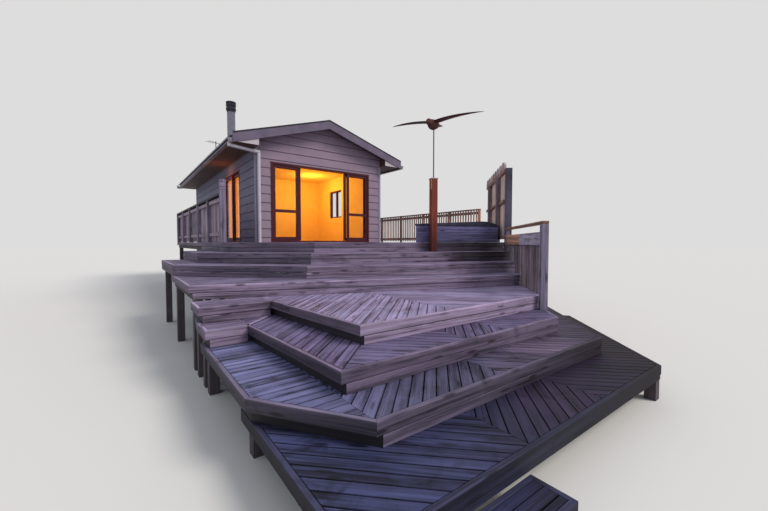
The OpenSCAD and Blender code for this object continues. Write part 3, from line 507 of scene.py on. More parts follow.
def placeTimber(name, dark, light, worn, axis="Z", boardWide=0.0, rough=0.65):
    # for nodes without their own board marks: grain along one axis of the object
    stretch = {"X": (1.6, 40, 40), "Y": (40, 1.6, 40), "Z": (40, 40, 1.6)}[axis]
    tree, shader = startMaterial(name, Roughness=rough)
    place = objectPlace(tree, stretch)
    if boardWide:
        coords = addNode(tree, "TexCoord")
        row = calc(tree, "FLOOR", calc(tree, "DIVIDE", axisOf(tree, coords.outputs["Object"], 0),
                                       boardWide))
        own = addNode(tree, "TexWhiteNoise", {"W": row}, noise_dimensions="1D")
        place = addNode(tree, "VectorMath", {0: own.outputs["Color"], 1: (31, 47, 29), 2: place},
                        operation="MULTIPLY_ADD").outputs[0]
    fine = noise(tree, place, 1.0, 6, 0.6, 0.5)
    wood = ramp(tree, fine, [(0.3, dark), (0.55, light), (0.78, dark)])
    if boardWide:
        wood = times(tree, wood, ramp(tree, own.outputs["Value"], [(0.0, 0.72), (1.0, 1.0)]))
    patch = noise(tree, objectPlace(tree), 3.0, 5, 0.6, 0.3)
    wood = overlaid(tree, wood, worn, patch, (0.4, 0.0), (0.75, 0.6))
    endMaterial(tree, shader, wood, fine, 0.001)


def glassMaterial(name, colour, film):
    tree, shader = startMaterial(name, Roughness=0.0, IOR=1.1, Transmission_Weight=1.0)
    patch = noise(tree, objectPlace(tree), 3.0, 3, 0.5)
    endMaterial(tree, shader, overlaid(tree, colour, film, patch, (0.35, 0.0), (0.75, 0.5)))


# what the finishes take their scale from
deckSettings = {
    "boardPitch": 0.092, "boardGap": 0.007, "boardThick": 0.030, "boardSoft": 0.0035,
    "fasciaThick": 0.036, "fasciaHeight": 0.092, "fasciaSoft": 0.003, "fasciaGap": 0.004,
    "toeFlush": 0.003, "toeLeft": 0.045, "toeFront": 0.006, "joistEvery": 0.45,
    "joistWide": 0.045, "joistDeep": 0.075, "joistBack": 0.085, "screwOff": 0.024,
    # two of these paint shade on left-facing upper edge boards and on set-back lower boards
    "screwRadius": 0.0042, "screwEdge": 0.012, "litUpper": 0.5, "litLower": 0.06,
    "screwDeep": 0.004, "screwSunk": 0.0003, "rimGap": 0.002, "seamGap": 0.0015,
    "mitreGap": 0.0006, "sink": 0.0012,
    "flushLevels": ("upper_deck", "stair_step_one", "stair_step_two"),
}
# rows of weatherboards, counted from just under the floor line
claddingSettings = {"exposure": 0.22, "start": floorZ - 0.09, "buttOut": 0.016, "topOut": 0.004,
                    "soft": 0.003}
boardHalf = (deckSettings["boardPitch"] - deckSettings["boardGap"]) / 2
groovePitch = 0.0145
towardRight = (0.8, -0.6, 0)

# mean tone, painted sheen, stain colour that also paints the shade, share of sheen, share of
# stains, and what else there is
timberLooks = {
    "stairBoards": ("80738f", "9a92b8", "2c2735", 0.4, 0.4, dict(halfWide=boardHalf)),
    # the stair and upper-deck faces darken towards the right end: painted shade
    "stairFaces": ("85768d", "9c91a8", "2a2530", 0.35, 0.45, dict(
        crest=0.5, top=1.25, region=((1, 0, 0), -2.0, 4.0, [
            (0.0, 1.0), (0.66, 1.0), (0.74, 0.5), (1.0, 0.42)]))),
    "upperFaces": ("85768d", "9c91a8", "2a2530", 0.35, 0.45, dict(
        crest=0.5, top=1.25, region=((1, 0, 0), -2.0, 4.0, [
            (0.0, 1.0), (0.6, 1.0), (0.68, 0.3), (0.76, 0.16), (1.0, 0.14)]))),
    # each terrace down is darker, and the faces of the lower terraces darker than their boards:
    # partly painted shade
    "oneBoards": ("9384a6", "b4aed6", "3c3448", 0.45, 0.3, dict(grooves=0.4, halfWide=boardHalf)),
    "oneFaces": ("907f99", "a89bb4", "1f1d22", 0.4, 0.3, dict(crest=0.5, top=1.3)),
    "twoBoards": ("695d80", "8780a8", "28242f", 0.45, 0.45, dict(
        grooves=0.4, halfWide=boardHalf)),
    "twoFaces": ("675b70", "7b7086", "19181b", 0.4, 0.6, dict(crest=0.5, top=1.45)),
    # across terraces three and four the tone runs from pale blue at the left, a painted highlight,
    # to warmer and darker towards the right
    "threeBoards": ("6d6d92", "9498cc", "17151f", 0.5, 0.8, dict(
        contrast=0.62, grooves=0.35, halfWide=boardHalf, region=(towardRight, 2.0, 6.0, [
            (0.0, "f9fbff"), (0.17, "f4f5fb"), (0.27, "d2cecb"), (0.5, "bab2b0"),
            (0.62, "dcc0b4"), (0.76, "dcbcb0"), (0.88, "9a8480"), (1.0, "846862")]))),
    "threeFaces": ("5c5568", "746d80", "161617", 0.35, 0.65, dict(
        crest=0.5, top=1.5, region=(towardRight, 2.0, 6.0, [
            (0.0, 0.85), (0.3, 1.0), (0.5, 0.8), (0.75, 0.42), (1.0, "7a5e50")]))),
    "fourBoards": ("464b70", "5f689e", "0e0d14", 0.5, 0.8, dict(
        contrast=0.6, halfWide=boardHalf, region=(towardRight, 2.4, 7.0, [
            (0.0, "dcdee0"), (0.25, "cac8ce"), (0.36, "968a8c"), (0.46, "b4888a"),
            (0.58, "926c74"), (0.66, "8a5e66"), (0.77, "7a4a3e"), (1.0, "744238")]))),
    "fourFaces": ("1e1f2f", "2b2c3e", "0c0b0e", 0.3, 0.6, dict(
        crest=0.5, top=2.4, region=(towardRight, 2.4, 7.0, [
            (0.0, 1.1), (0.2, 1.2), (0.33, 1.6), (0.46, 0.85), (0.7, "b09080"),
            (1.0, "b08470")]))),
    "fence": ("9c8a98", "b8a2a8", "3a3340", 0.45, 0.45, dict(spread=0.6)),
    "fencePost": ("827990", "a199b0", "3a3542", 0.4, 0.3, {}),
    "fenceRail": ("35323e", "4b4856", "1b191f", 0.3, 0.4, {}),
    "screen": ("84767c", "a4969a", "2a2528", 0.4, 0.45, dict(spread=0.8)),
    "screenPost": ("5f5a6e", "7d7890", "2c2935", 0.35, 0.4, {}),
    "innerPost": ("7a6a70", "94858a", "352c30", 0.35, 0.4, {}),
    "stairPost": ("857d92", "a098ac", "403b48", 0.4, 0.3, {}),
    "plankGrey": ("c8c2d4", "dcd8e4", "4c4858", 0.35, 0.35, {}),
    "plankWarm": ("d6a68a", "e6bca0", "584034", 0.35, 0.4, {}),
    "screenRail": ("916e5c", "b8957c", "3b2b22", 0.35, 0.4, {}),
    "screenPale": ("eedcd8", "f8ecea", "a08e8c", 0.4, 0.25, dict(spread=0.25)),
    "scallop": ("c4b2b4", "e4d8da", "584c50", 0.4, 0.35, dict(spread=0.5)),
    # the surround darkens towards its foot: painted shade
    "surround": ("6a6790", "827eae", "15131d", 0.4, 0.5, dict(
        spread=0.3, region=((0, 0, 1), floorZ, floorZ + 0.42, [
            (0.0, 0.45), (0.5, 0.95), (1.0, 1.1)]))),
    "lid": ("3b3a4e", "4e4d68", "15141b", 0.4, 0.4, {}),
    "pickets": ("bc9784", "d6b4a0", "4a3830", 0.35, 0.3, dict(spread=0.4)),
    "picketRail": ("94705e", "b4907c", "33251f", 0.3, 0.3, {}),
    "redPost": ("7d3a2c", "a45640", "341a18", 0.35, 0.4, dict(
        spread=0.1, contrast=0.25, knots=0.4, region=((0, 0, 1), 1.4, 2.8, [
            (0.0, 0.35), (0.3, 0.85), (0.6, 1.0)]))),
    "postCap": ("a48a8c", "cdb6b4", "5c474a", 0.3, 0.3, {}),
    "bird": ("552f2e", "744640", "24110f", 0.35, 0.35, dict(
        spread=0.1, grain=(5, 120), contrast=0.25, knots=0.0)),
}
for name, values in timberLooks.items():
    boardTimber(name, *values[:5], **values[5])

# colour, worn colour, roughness, scale and share of the wear, metal, painted shadow under each
# lap, end colour
paintLooks = {
    "weatherboard": ("9d8b9c", "85758a", 0.6, 2.2, 0.5, 0.0, 0.6),
    # the side and back walls take a darker, cooler copy of the front's paint: painted shade
    "weatherboardShaded": ("7a7890", "605f78", 0.6, 2.2, 0.5, 0.0, 0.6),
    "corner": ("9a94a8", "7c778c", 0.5, 3.0, 0.4),
    # the lining's warm yellow is partly painted lamplight
    "lining": ("f6d28a", "e3b764", 0.6, 1.5, 0.4),
    "roof": ("77757f", "5f5d66", 0.45, 1.3, 0.6, 0.4),
    "barge": ("766c80", "544d5e", 0.55, 3.0, 0.6),
    "capping": ("3b3942", "55525a", 0.4, 4.0, 0.4, 0.6),
    # the eave's warm brown is painted shade and lamp glow on the soffit; faces toward -Y keep the
    # pale paint
    "eave": ("5a4034", "412e26", 0.6, 4.0, 0.5, 0.0, 0.0, "c9c2c8"),
    "gutter": ("8e8c96", "6c6a72", 0.42, 5.0, 0.5, 0.3),
    "downpipe": ("cfcdd6", "a6a4b0", 0.4, 6.0, 0.4),
    "stainless": ("9c9aa4", "5f5d66", 0.28, 8.0, 0.45, 0.9),
    "cowl": ("4c4a52", "2c2a2e", 0.35, 12.0, 0.6, 0.8),
    "aerial": ("6d6c74", "4d4c52", 0.4, 30.0, 0.5, 0.8),
    "joinery": ("54212a", "351219", 0.5, 9.0, 0.5),
}
for name, values in paintLooks.items():
    paintedFinish(name, *values)
placeTimber("piles", "3d3a3c", "5d5755", "35342f")
placeTimber("posts", "403b40", "625a5f", "38363a")
placeTimber("base", "3b3839", "57514f", "2f2e2c", "X")
placeTimber("floor", "8a5c34", "b98450", "7b5230", "Y", 0.13, 0.4)
glassMaterial("glass", "fbfdfc", "f6f7f4")
print("finishes ready")


# decks: boards in fields, edge boards, joists and screws
def directions(angle):
    a = math.radians(angle)
    return Vector((math.cos(a), math.sin(a))), Vector((-math.sin(a), math.cos(a)))


def layBoards(outline, top, angle):
    s = deckSettings
    along, across = directions(angle)
    us = [Vector(p).dot(along) for p in outline]
    vs = [Vector(p).dot(across) for p in outline]
    rows = math.ceil((max(vs) - min(vs)) / s["boardPitch"]) + 1
    start = math.floor(min(vs) / s["boardPitch"]) * s["boardPitch"] + s["boardGap"] / 2
    board = addBlock((min(us) - past, start, top - s["boardThick"]),
                     (max(us) + past, start + 2 * boardHalf, top), s["boardSoft"])
    repeatRow(board, rows, (0, s["boardPitch"], 0))
    trimTo(turned(board, math.radians(angle)), outline)
    return tagBoards(board, along.to_3d(), across.to_3d(), s["sink"])


def layScrews(outline, top, angle):
    # two screws where each board crosses a joist
    s = deckSettings
    along, across = directions(angle)
    crosswise = abs(along.x) > 0.3
    lean = abs(along.x if crosswise else along.y)
    stepOne = Vector((0, 1) if crosswise else (1, 0)) * (s["boardPitch"] / lean)
    stepTwo = along * (s["joistEvery"] / lean)
    det = stepOne.x * stepTwo.y - stepOne.y * stepTwo.x
    lowest = min(Vector(p).dot(across) for p in outline)
    first = across * (math.floor(lowest / s["boardPitch"]) + 0.5) * s["boardPitch"]
    ranges = []
    for p in outline:
        d = Vector(p) - first
        ranges.append(((d.x * stepTwo.y - d.y * stepTwo.x) / det,
                       (stepOne.x * d.y - stepOne.y * d.x) / det))
    (i0, i1), (j0, j1) = [(math.floor(min(r)) - 1, math.ceil(max(r))) for r in zip(*ranges)]
    begin = first + stepOne * i0 + stepTwo * j0
    pair = []
    for side in (-1, 1):
        spot = begin + across * side * s["screwOff"]
        pair.append(addRod((*spot, top - s["screwDeep"]), (*spot, top - s["screwSunk"]),
                           s["screwRadius"], 6))
    screws = joined(pair, "screws")
    perScrew = len(screws.data.vertices) // 2
    repeatRow(screws, i1 - i0 + 2, stepOne.to_3d())
    repeatRow(screws, j1 - j0 + 2, stepTwo.to_3d())
    kept, outside = edgesOf(insetBy(outline, s["screwEdge"])), set()
    corners = [vertex.co for vertex in screws.data.vertices]
    for start in range(0, len(corners), perScrew):
        middle = sum(corners[start:start + perScrew], Vector()) / perScrew
        if any(cross(p, q, middle) < 0 for p, q in kept):
            outside.update(range(start, start + perScrew))
    pickVertices(screws, lambda vertex: vertex.index in outside)
    bpy.ops.mesh.delete(type="VERT")
    endEdit()
    return screws


def edgeBoards(outline, low, high, thick, soft, litLeft=1.0):
    # one mitred board behind each edge of an outline; the left sides take painted shade
    made, gap = [], deckSettings["mitreGap"]
    runs = [runOf(p, q) for p, q in edgesOf(outline)]
    for i, (p, q) in enumerate(edgesOf(outline)):
        run = runs[i]
        board = addBlock((-past, 0, low), (math.dist(p, q) + past, thick, high), soft)
        turned(board, math.atan2(run.y, run.x), (*p, 0))
        for corner, mitre, way in ((p, runs[i - 1] + run, -1),
                                   (q, run + runs[(i + 1) % len(runs)], 1)):
            mitre.normalize()
            cutOff(board, (Vector(corner) - way * gap * mitre).to_3d(), (way * mitre).to_3d())
        made.append(tagBoards(board, run.to_3d(), (0, 0, 1),
                              litShare=litLeft if run.y < -0.5 else 1.0))
    return made


def layJoists(outline, top, low):
    s = deckSettings
    xs, ys = zip(*outline)
    first = math.ceil(min(xs) / s["joistEvery"]) * s["joistEvery"]
    joist = addBlock((first - s["joistWide"] / 2, min(ys), low),
                     (first + s["joistWide"] / 2, max(ys), top))
    repeatRow(joist, max(1, math.ceil((max(xs) - first) / s["joistEvery"])),
              (s["joistEvery"], 0, 0))
    return tagBoards(trimTo(joist, outline), (0, 1, 0), (1, 0, 0))


# fields of boards, from the left, and the seams between them
deckFields = {
    "upper_deck": {"angles": [0], "faces": "upper"},
    "stair_step_one": {"angles": [90, -45, -19.1], "faces": "upper",
                       "seams": [((-1.700, -2.367), (-1.240, -2.160)),
                                 ((-0.297, -3.770), (-0.040, -3.360))]},
    "stair_step_two": {"angles": [90, -45, -19.1],
                       "seams": [((-2.080, -2.655), (-1.700, -2.367)),
                                 ((-0.554, -4.181), (-0.297, -3.770))]},
    "stair_landing": {"angles": [-19.1]},
    "terrace_one": {"angles": [45, -45], "look": "one", "seams": [((0.05, -6.48), (0.05, -4.2))]},
    "terrace_two": {"angles": [45, -45, 45, -45], "look": "two",
                    "seams": [((-1.550, -6.890), (-1.130, -6.480)),
                              ((-0.20, -6.89), (-0.20, -4.5)),
                              ((0.38, -6.89), (0.38, -4.5))]},
    "terrace_three": {"angles": [0, 45, -45], "look": "three",
                      "seams": [((-1.55, -7.305), (-1.55, -4.9)),
                                ((-0.285, -7.305), (-0.285, -4.9))]},
    "terrace_four": {"angles": [-45, 45, -45], "look": "four",
                     "seams": [((-0.76, -7.83), (-0.76, -5.7)),
                               ((0.30, -7.83), (0.30, -5.7))]},
    "bottom_step": {"angles": [0], "look": "four"},
    "left_side_deck": {"angles": [90]},
    "right_side_deck": {"angles": [90]},
    "side_treads": {"angles": [0], "name": "side_tread", "levels": 2},
}


def buildLevel(node, top, faceHigh, fields):
    s = deckSettings
    outline, flush = outlineAt(node, top), node in s["flushLevels"]
    boards, screws = [], []
    rest = insetBy(outline, s["fasciaThick"] + s["rimGap"])
    for angle, seam in zip(fields["angles"], fields.get("seams", []) + [None]):
        field = rest
        if seam:
            field, rest = keepLeft(rest, *seam), keepLeft(rest, *seam[::-1])
        zone = insetBy(field, s["seamGap"])
        boards.append(layBoards(zone, top, angle))
        screws.append(layScrews(zone, top, angle))
    faces = edgeBoards(outline, top - min(s["fasciaHeight"], faceHigh), top,
                       s["fasciaThick"], s["fasciaSoft"], s["litUpper"])
    if faceHigh > s["fasciaHeight"] + 0.03:
        toeLeft = s["toeFlush"] if flush else s["toeLeft"]
        toes = [toeLeft if runOf(p, q).y < -0.5 else s["toeFront"] for p, q in edgesOf(outline)]
        faces += edgeBoards(insetBy(outline, toes), top - faceHigh,
                            top - s["fasciaHeight"] - s["fasciaGap"], s["fasciaThick"],
                            s["fasciaSoft"], s["litUpper"] if flush else s["litLower"])
    deep = max(min(faceHigh, s["fasciaHeight"]), s["boardThick"] + s["joistDeep"])
    faces.append(layJoists(insetBy(outline, s["joistBack"]), top - s["boardThick"] - clear,
                           top - deep))
    return boards, faces, screws


screwParts = []
for node, fields in deckFields.items():
    low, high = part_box(node)
    levels, boards, faces = fields.get("levels", 1), [], []
    for level in range(levels):
        laid, edges, screws = buildLevel(node, high[2] - level * riser,
                                         (high[2] - low[2]) / levels, fields)
        boards += laid
        faces += edges
        screwParts += screws
    look, name = fields.get("look", "stair"), fields.get("name", node)
    finished(joined(boards, name + "_boards"), look + "Boards", "deck_timber", node)
    finished(joined(faces, name + "_faces"), fields.get("faces", look) + "Faces", "deck_timber",
             node)
finished(joined(screwParts, "deck_screws"), "cowl", "stainless_steel")
print("decks laid")

nodesWith = {
    "piles": "house_piles", "floor": "floor_platform", "base": "base_boards",
    "lining": "front_wall_left front_wall_right left_wall_front left_wall_back left_wall_head"
              " right_wall back_wall living_room_wall ceiling",
    "weatherboard": "front_gable", "roof": "roof_left roof_right ridge_cap",
    "barge": "barge_boards", "eave": "eave_boxes", "gutter": "gutters", "downpipe": "downpipe",
    "stainless": "flue", "cowl": "flue_cowl", "aerial": "tv_aerial", "posts": "deck_posts",
    "joinery": "front_door_frame front_leaf_left front_leaf_right side_door_frame side_leaf"
               " window_frames",
    "glass": "front_fixed_glass front_leaf_left_glass front_leaf_right_glass side_fixed_glass"
             " side_leaf_glass window_glass",
}
for look, nodes in nodesWith.items():
    for node in nodes.split():
        cad[node].data.materials.clear()
        cad[node].data.materials.append(finish[look])

# cladding: each wall's boards are laid along X, facing -Y, and then turned into place
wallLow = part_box("floor_platform")[0][2]
houseWide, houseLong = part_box("back_wall")[1][:2]
frontDoor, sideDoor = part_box("front_door_frame"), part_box("side_door_frame")
roofLow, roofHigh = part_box("roof_left")
pitch = math.radians(17)
soffitZ = floorZ + 2.335
cladLow, doorGap = floorZ + 0.004, 0.002
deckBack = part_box("left_side_deck")[1][1]
facing = {"wide": 0.066, "thick": 0.022, "sillOut": 0.045, "sillDeep": 0.7, "sillEnd": 0.01,
          "corner": 0.055}
slopeCuts = (((roofLow[0], 0, roofLow[2] - 0.003), (-math.sin(pitch), 0, math.cos(pitch))),
             ((houseWide - roofLow[0], 0, roofLow[2] - 0.003),
              (math.sin(pitch), 0, math.cos(pitch))))
rightWindow, backWindow = (2.17, 3.07), (houseWide - 2.35, houseWide - 1.45)
windowLow, windowHigh = [corner[2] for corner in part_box("window_frames")]


def claddingField(x0, x1, z0, z1, cuts=()):
    s = claddingSettings
    first = math.floor((z0 - s["start"]) / s["exposure"] + 1e-6)
    rows = math.ceil((z1 - s["start"]) / s["exposure"] - 1e-6) - first
    base = s["start"] + first * s["exposure"]
    board = addBlock((x0, -s["buttOut"], base), (x1, 0, base + s["exposure"] - 0.0015))
    moveVertices(board, lambda vertex: vertex.co.z > base + 0.1 and vertex.co.y < -0.001,
                 (0, s["buttOut"] - s["topOut"], 0))
    softenEdges(board, s["soft"], 2, 60)
    repeatRow(board, max(rows, 1), (0, 0, s["exposure"]))
    if base < z0 - 0.001:
        cutOff(board, (0, 0, z0), (0, 0, -1))
    if base + rows * s["exposure"] > z1 + 0.001:
        cutOff(board, (0, 0, z1), (0, 0, 1))
    for point, outward in cuts:
        cutOff(board, point, outward)
    return tagBoards(board, (1, 0, 0), (0, 0, 1))


def claddingRound(x0, x1, z0, z1, hole, cuts=()):
    # a wall of boards round one window, drawn as four fields
    h0, h1 = hole[0] - facing["wide"], hole[1] + facing["wide"]
    w0, w1 = windowLow - facing["wide"], windowHigh + facing["wide"]
    return [claddingField(*field, cuts) for field in (
        (x0, h0, w0, w1), (h1, x1, w0, w1), (x0, x1, z0, w0), (x0, x1, w1, z1))]


def windowTrim(low, high):
    wide, thick, out, end = [facing[key] for key in ("wide", "thick", "sillOut", "sillEnd")]
    sillLow = windowLow - wide * facing["sillDeep"]
    return [tagBoards(addBlock(a, b, 0.0025), (1, 0, 0), (0, 0, 1)) for a, b in (
        ((low - wide, -thick, windowLow), (low, 0, windowHigh)),
        ((high, -thick, windowLow), (high + wide, 0, windowHigh)),
        ((low - wide, -thick, windowHigh), (high + wide, 0, windowHigh + wide)),
        ((low - wide - end, -out, sillLow), (high + wide + end, 0, windowLow)),
        ((low - wide, -thick, windowLow - wide), (high + wide, 0, sillLow)))]


def cladWall(side, parts, angle=0.0, shift=(0, 0, 0)):
    # walls other than the front take the copy with painted shade
    look = "weatherboard" if side == "front" else "weatherboardShaded"
    finished(joined([turned(part, angle, shift) for part in parts], "weatherboards_" + side),
             look, "weatherboard_paint")


doorTop, sideTop = frontDoor[1][2] + doorGap, sideDoor[1][2] + doorGap
frontWall = [claddingField(0, frontDoor[0][0] - doorGap, cladLow, doorTop),
             claddingField(frontDoor[1][0] + doorGap, houseWide, cladLow, doorTop),
             claddingField(0, houseWide, doorTop, roofHigh[2], slopeCuts)]
leftWall = [claddingField(-sideDoor[0][1] + doorGap, 0, cladLow, sideTop),
            claddingField(-houseLong, -sideDoor[1][1] - doorGap, cladLow, sideTop),
            claddingField(-houseLong, 0, sideTop, soffitZ),
            claddingField(-houseLong, -deckBack, wallLow, cladLow)]
rightWall = claddingRound(0, houseLong, cladLow, soffitZ, rightWindow)
rightWall.append(claddingField(deckBack, houseLong, wallLow, cladLow))
trims = [turned(part, math.pi / 2, (houseWide, 0, 0)) for part in windowTrim(*rightWindow)]
backWall = claddingRound(0, houseWide, wallLow, roofHigh[2], backWindow, slopeCuts)
trims += [turned(part, math.pi, (houseWide, houseLong, 0)) for part in windowTrim(*backWindow)]
cladWall("front", frontWall)
cladWall("left", leftWall, -math.pi / 2)
cladWall("right", rightWall, math.pi / 2, (houseWide, 0, 0))
cladWall("back", backWall, math.pi, (houseWide, houseLong, 0))
finished(joined(trims, "window_facings"), "corner", "weatherboard_paint")

corners = []
for x, y, outX, outY, low in ((0, 0, -1, -1, cladLow), (houseWide, 0, 1, -1, cladLow),
                              (0, houseLong, -1, 1, wallLow),
                              (houseWide, houseLong, 1, 1, wallLow)):
    wide, thick = facing["corner"], facing["thick"]
    for xs, ys in (((x + outX * thick, x - outX * wide), (y, y + outY * thick)),
                   ((x, x + outX * thick), (y, y - outY * wide))):
        corners.append(tagBoards(addBlock((min(xs), min(ys), low),
                                          (max(xs), max(ys), soffitZ - 0.005), 0.003)))
finished(joined(corners, "corner_boards"), "corner", "weatherboard_paint")
print("walls clad")

# roof: everything is made for the left slope, flat at the origin with X up the slope
roofSettings = {"wave": 0.0762, "high": 0.017, "steel": 0.0012, "overEave": 0.045,
                "shortOfRidge": 0.06, "ridgeWide": 0.19, "ridgeRoll": 0.024,
                "screwRows": (0.08, 0.85, 1.65, 2.36), "screwRadius": 0.009, "screwHigh": 0.006,
                "sheetLift": 0.00449, "screwLift": 0.003, "lift": 0.004, "end": 0.004,
                "flangeThick": 0.002, "lipDeep": 0.008, "rollUp": 0.006,
                "cappingThick": 0.003, "cappingFace": 0.0025, "cappingDeep": 0.034,
                "cappingOver": 0.02, "cappingPast": 0.05,
                "straps": 10, "strapFrom": 0.25, "strapEvery": 0.9, "strapWide": 0.025}
slabUp = roofHigh[2] - math.tan(pitch) * (roofHigh[0] - roofLow[0])
roofWide = (roofHigh[0] - roofLow[0]) / math.cos(pitch)
roofLong = roofHigh[1] - roofLow[1]


def ontoSlope(obj, lift):
    return placed(obj, (roofLow[0] - lift * math.sin(pitch), roofLow[1],
                        slabUp + lift * math.cos(pitch)), (0, -pitch, 0))


def otherSide(obj):
    return turned(duplicated(obj), math.pi, (houseWide, houseLong, 0))


def corrugatedSheet():
    s, steps = roofSettings, 8
    deselectAll()
    bpy.ops.mesh.primitive_grid_add(x_subdivisions=1, y_subdivisions=steps, size=1)
    wave = dropLayers(placed(
        bpy.context.object,
        ((roofWide - s["overEave"] - s["shortOfRidge"]) / 2, s["wave"] / 2, 0),
        scale=(roofWide + s["overEave"] - s["shortOfRidge"], s["wave"], 1)))
    for row in range(2, steps):  # the row beside each trough stays down
        rise = s["high"] / 2 * (1 - math.cos(2 * math.pi * row / steps))
        moveVertices(wave, lambda vertex: abs(vertex.co.y - s["wave"] * row / steps) < 0.0005,
                     (0, 0, rise))
    count = int((roofLong - 0.01) / s["wave"])
    repeatRow(wave, count, (0, s["wave"], 0), True)
    applyModifier(wave, "SOLIDIFY", thickness=s["steel"], offset=1)
    return placed(wave, (0, (roofLong - count * s["wave"]) / 2, 0)), count


s = roofSettings
sheet, waves = corrugatedSheet()
left = smoothed(ontoSlope(sheet, s["sheetLift"]), 50)
finished(joined([left, otherSide(left)], "roof_corrugated_sheets"), "roof", "roof_steel")

firstCrest = (roofLong - waves * s["wave"]) / 2 + s["wave"] / 2
heads = []
for along in s["screwRows"]:
    head = addRod((along, firstCrest, s["high"]), (along, firstCrest, s["high"] + s["screwHigh"]),
                  s["screwRadius"], 8, 0.005)
    repeatRow(head, waves // 2, (0, 2 * s["wave"], 0))
    heads.append(ontoSlope(head, s["screwLift"]))
heads += [otherSide(head) for head in heads]
finished(joined(heads, "roof_screws"), "gutter", "roof_steel")

foot, end, flangeTop = roofWide - s["ridgeWide"], s["end"], s["high"] + s["flangeThick"]
flange = ontoSlope(addBlock((foot, end, s["high"]),
                            (roofWide + end, roofLong - end, flangeTop)), s["lift"])
cutOff(flange, (houseWide / 2, 0, 0), (1, 0, 0))
lip = ontoSlope(addBlock((foot, end, s["high"] - s["lipDeep"]),
                         (foot + s["flangeThick"], roofLong - end, flangeTop)), s["lift"])
rollZ = roofHigh[2] + (s["high"] + s["rollUp"]) / math.cos(pitch)
roll = smoothed(addRod((houseWide / 2, roofLow[1] + end, rollZ),
                       (houseWide / 2, roofHigh[1] - end, rollZ), s["ridgeRoll"], 20), 50)
finished(joined([flange, lip, otherSide(flange), otherSide(lip), roll], "ridge_capping"),
         "roof", "roof_steel", "ridge_cap")

bargeLow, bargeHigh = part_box("barge_boards")
bargeUp = bargeHigh[2] - math.tan(pitch) * (houseWide / 2 - bargeLow[0])
cappings, thick, far = [], s["cappingThick"], roofWide + s["cappingPast"]
for y0, y1 in ((bargeLow[1] - thick, roofLow[1] + s["cappingOver"]),
               (roofHigh[1] - s["cappingOver"], bargeHigh[1] + thick)):
    face = (y0, y0 + s["cappingFace"]) if y0 < 0 else (y1 - s["cappingFace"], y1)
    for capping in (addBlock((0, y0, 0), (far, y1, thick)),
                    addBlock((0, face[0], -s["cappingDeep"]), (far, face[1], thick))):
        placed(capping, (bargeLow[0], 0, bargeUp), (0, -pitch, 0))
        cutOff(capping, (houseWide / 2, 0, 0), (1, 0, 0))
        cappings += [capping, otherSide(capping)]
finished(joined(cappings, "barge_cappings"), "capping", "barge_paint")

gutterLow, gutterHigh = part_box("gutters")
strapY = gutterLow[1] + s["strapFrom"]
strap = addBlock((gutterLow[0] + 0.004, strapY, gutterHigh[2] - 0.002),
                 (roofLow[0], strapY + s["strapWide"], gutterHigh[2] + 0.001))
repeatRow(strap, s["straps"], (0, s["strapEvery"], 0))
finished(joined([strap, otherSide(strap)], "gutter_straps"), "gutter", "gutter_steel")
print("roof covered")


# fences and screens
def plank(low, high, along=(0, 0, 1), across=(1, 0, 0), soft=0.003):
    return tagBoards(addBlock(low, high, soft), along, across)


def rowOf(first, count, step, shorter=0.0):
    # copies of one upright board, none cut to quite the same height
    row, top = [first], max(v.co.z for v in first.data.vertices)
    for i in range(1, count):
        twin = placed(duplicated(first), Vector(step) * i)
        cut = shorter * chance.random()
        for vertex in twin.data.vertices:
            if vertex.co.z > top - 0.02:
                vertex.co.z -= cut
        row.append(twin)
    return row


alongY, alongX, acrossY, upright = (0, 1, 0), (1, 0, 0), (0, 1, 0), (0, 0, 1)
fenceSettings = {"post": 0.1, "bays": 5, "high": 0.9, "board": 0.14, "gap": 0.008,
                 "thick": 0.022, "railDeep": 0.07, "railsAt": (0.12, 0.77), "foot": 0.012,
                 "shorter": 0.012, "cleat": (0.09, 0.04, 0.12)}
s = fenceSettings
fenceLow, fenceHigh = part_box("left_fence")
fenceX, fenceY = fenceLow[0] + 0.008, fenceLow[1] + 0.006
wide, run = s["post"], deckBack - fenceY
posts = [plank((fenceX, fenceY, floorZ + clear), (fenceX + wide, fenceY + wide, fenceHigh[2]),
               soft=0.006)]
post = plank((fenceX, fenceY, floorZ + clear),
             (fenceX + wide, fenceY + wide, floorZ + s["high"] - 0.021), soft=0.005)
for i in range(1, s["bays"] + 1):
    twin = duplicated(post) if i < s["bays"] else post
    posts.append(placed(twin, (0, i * (run - wide) / s["bays"], 0)))
boardPiece(posts, "left_fence_posts", "fencePost", "left_fence")
count = int((run - wide) / (s["board"] + s["gap"]))
faceX = fenceX + wide - 0.025
paling = addBlock((faceX, fenceY + 0.05, floorZ + s["foot"]),
                  (faceX + s["thick"], fenceY + 0.05 + s["board"], floorZ + s["high"] - 0.022),
                  0.003)
palings = rowOf(paling, count, (0, (run - wide) / count, 0), s["shorter"])
boardPiece(palings, "left_fence_palings", "fence", "left_fence", across=acrossY)
battens = [plank((fenceX + 0.03, fenceY + 0.02, floorZ + z),
                 (faceX - 0.0005, deckBack - 0.02, floorZ + z + s["railDeep"]),
                 alongY, upright) for z in s["railsAt"]]
topRail = plank((fenceX, fenceY + wide + clear, floorZ + s["high"] - 0.02),
                (fenceX + wide + 0.01, deckBack, floorZ + s["high"] + 0.02),
                alongY, alongX, 0.005)
boardPiece(battens, "left_fence_battens", "fence", "left_fence", alongY, upright)
boardPiece([topRail], "left_fence_top_rail", "fenceRail", "left_fence", alongY, alongX)
cleat = plank((fenceLow[0], fenceLow[1], fenceHigh[2] - 0.19),
              (fenceLow[0] + s["cleat"][0], fenceLow[1] + s["cleat"][1],
               fenceHigh[2] - 0.19 + s["cleat"][2]), alongX, upright, 0.008)
boardPiece([cleat], "left_fence_cleat", "fencePost", "left_fence", alongX, upright)

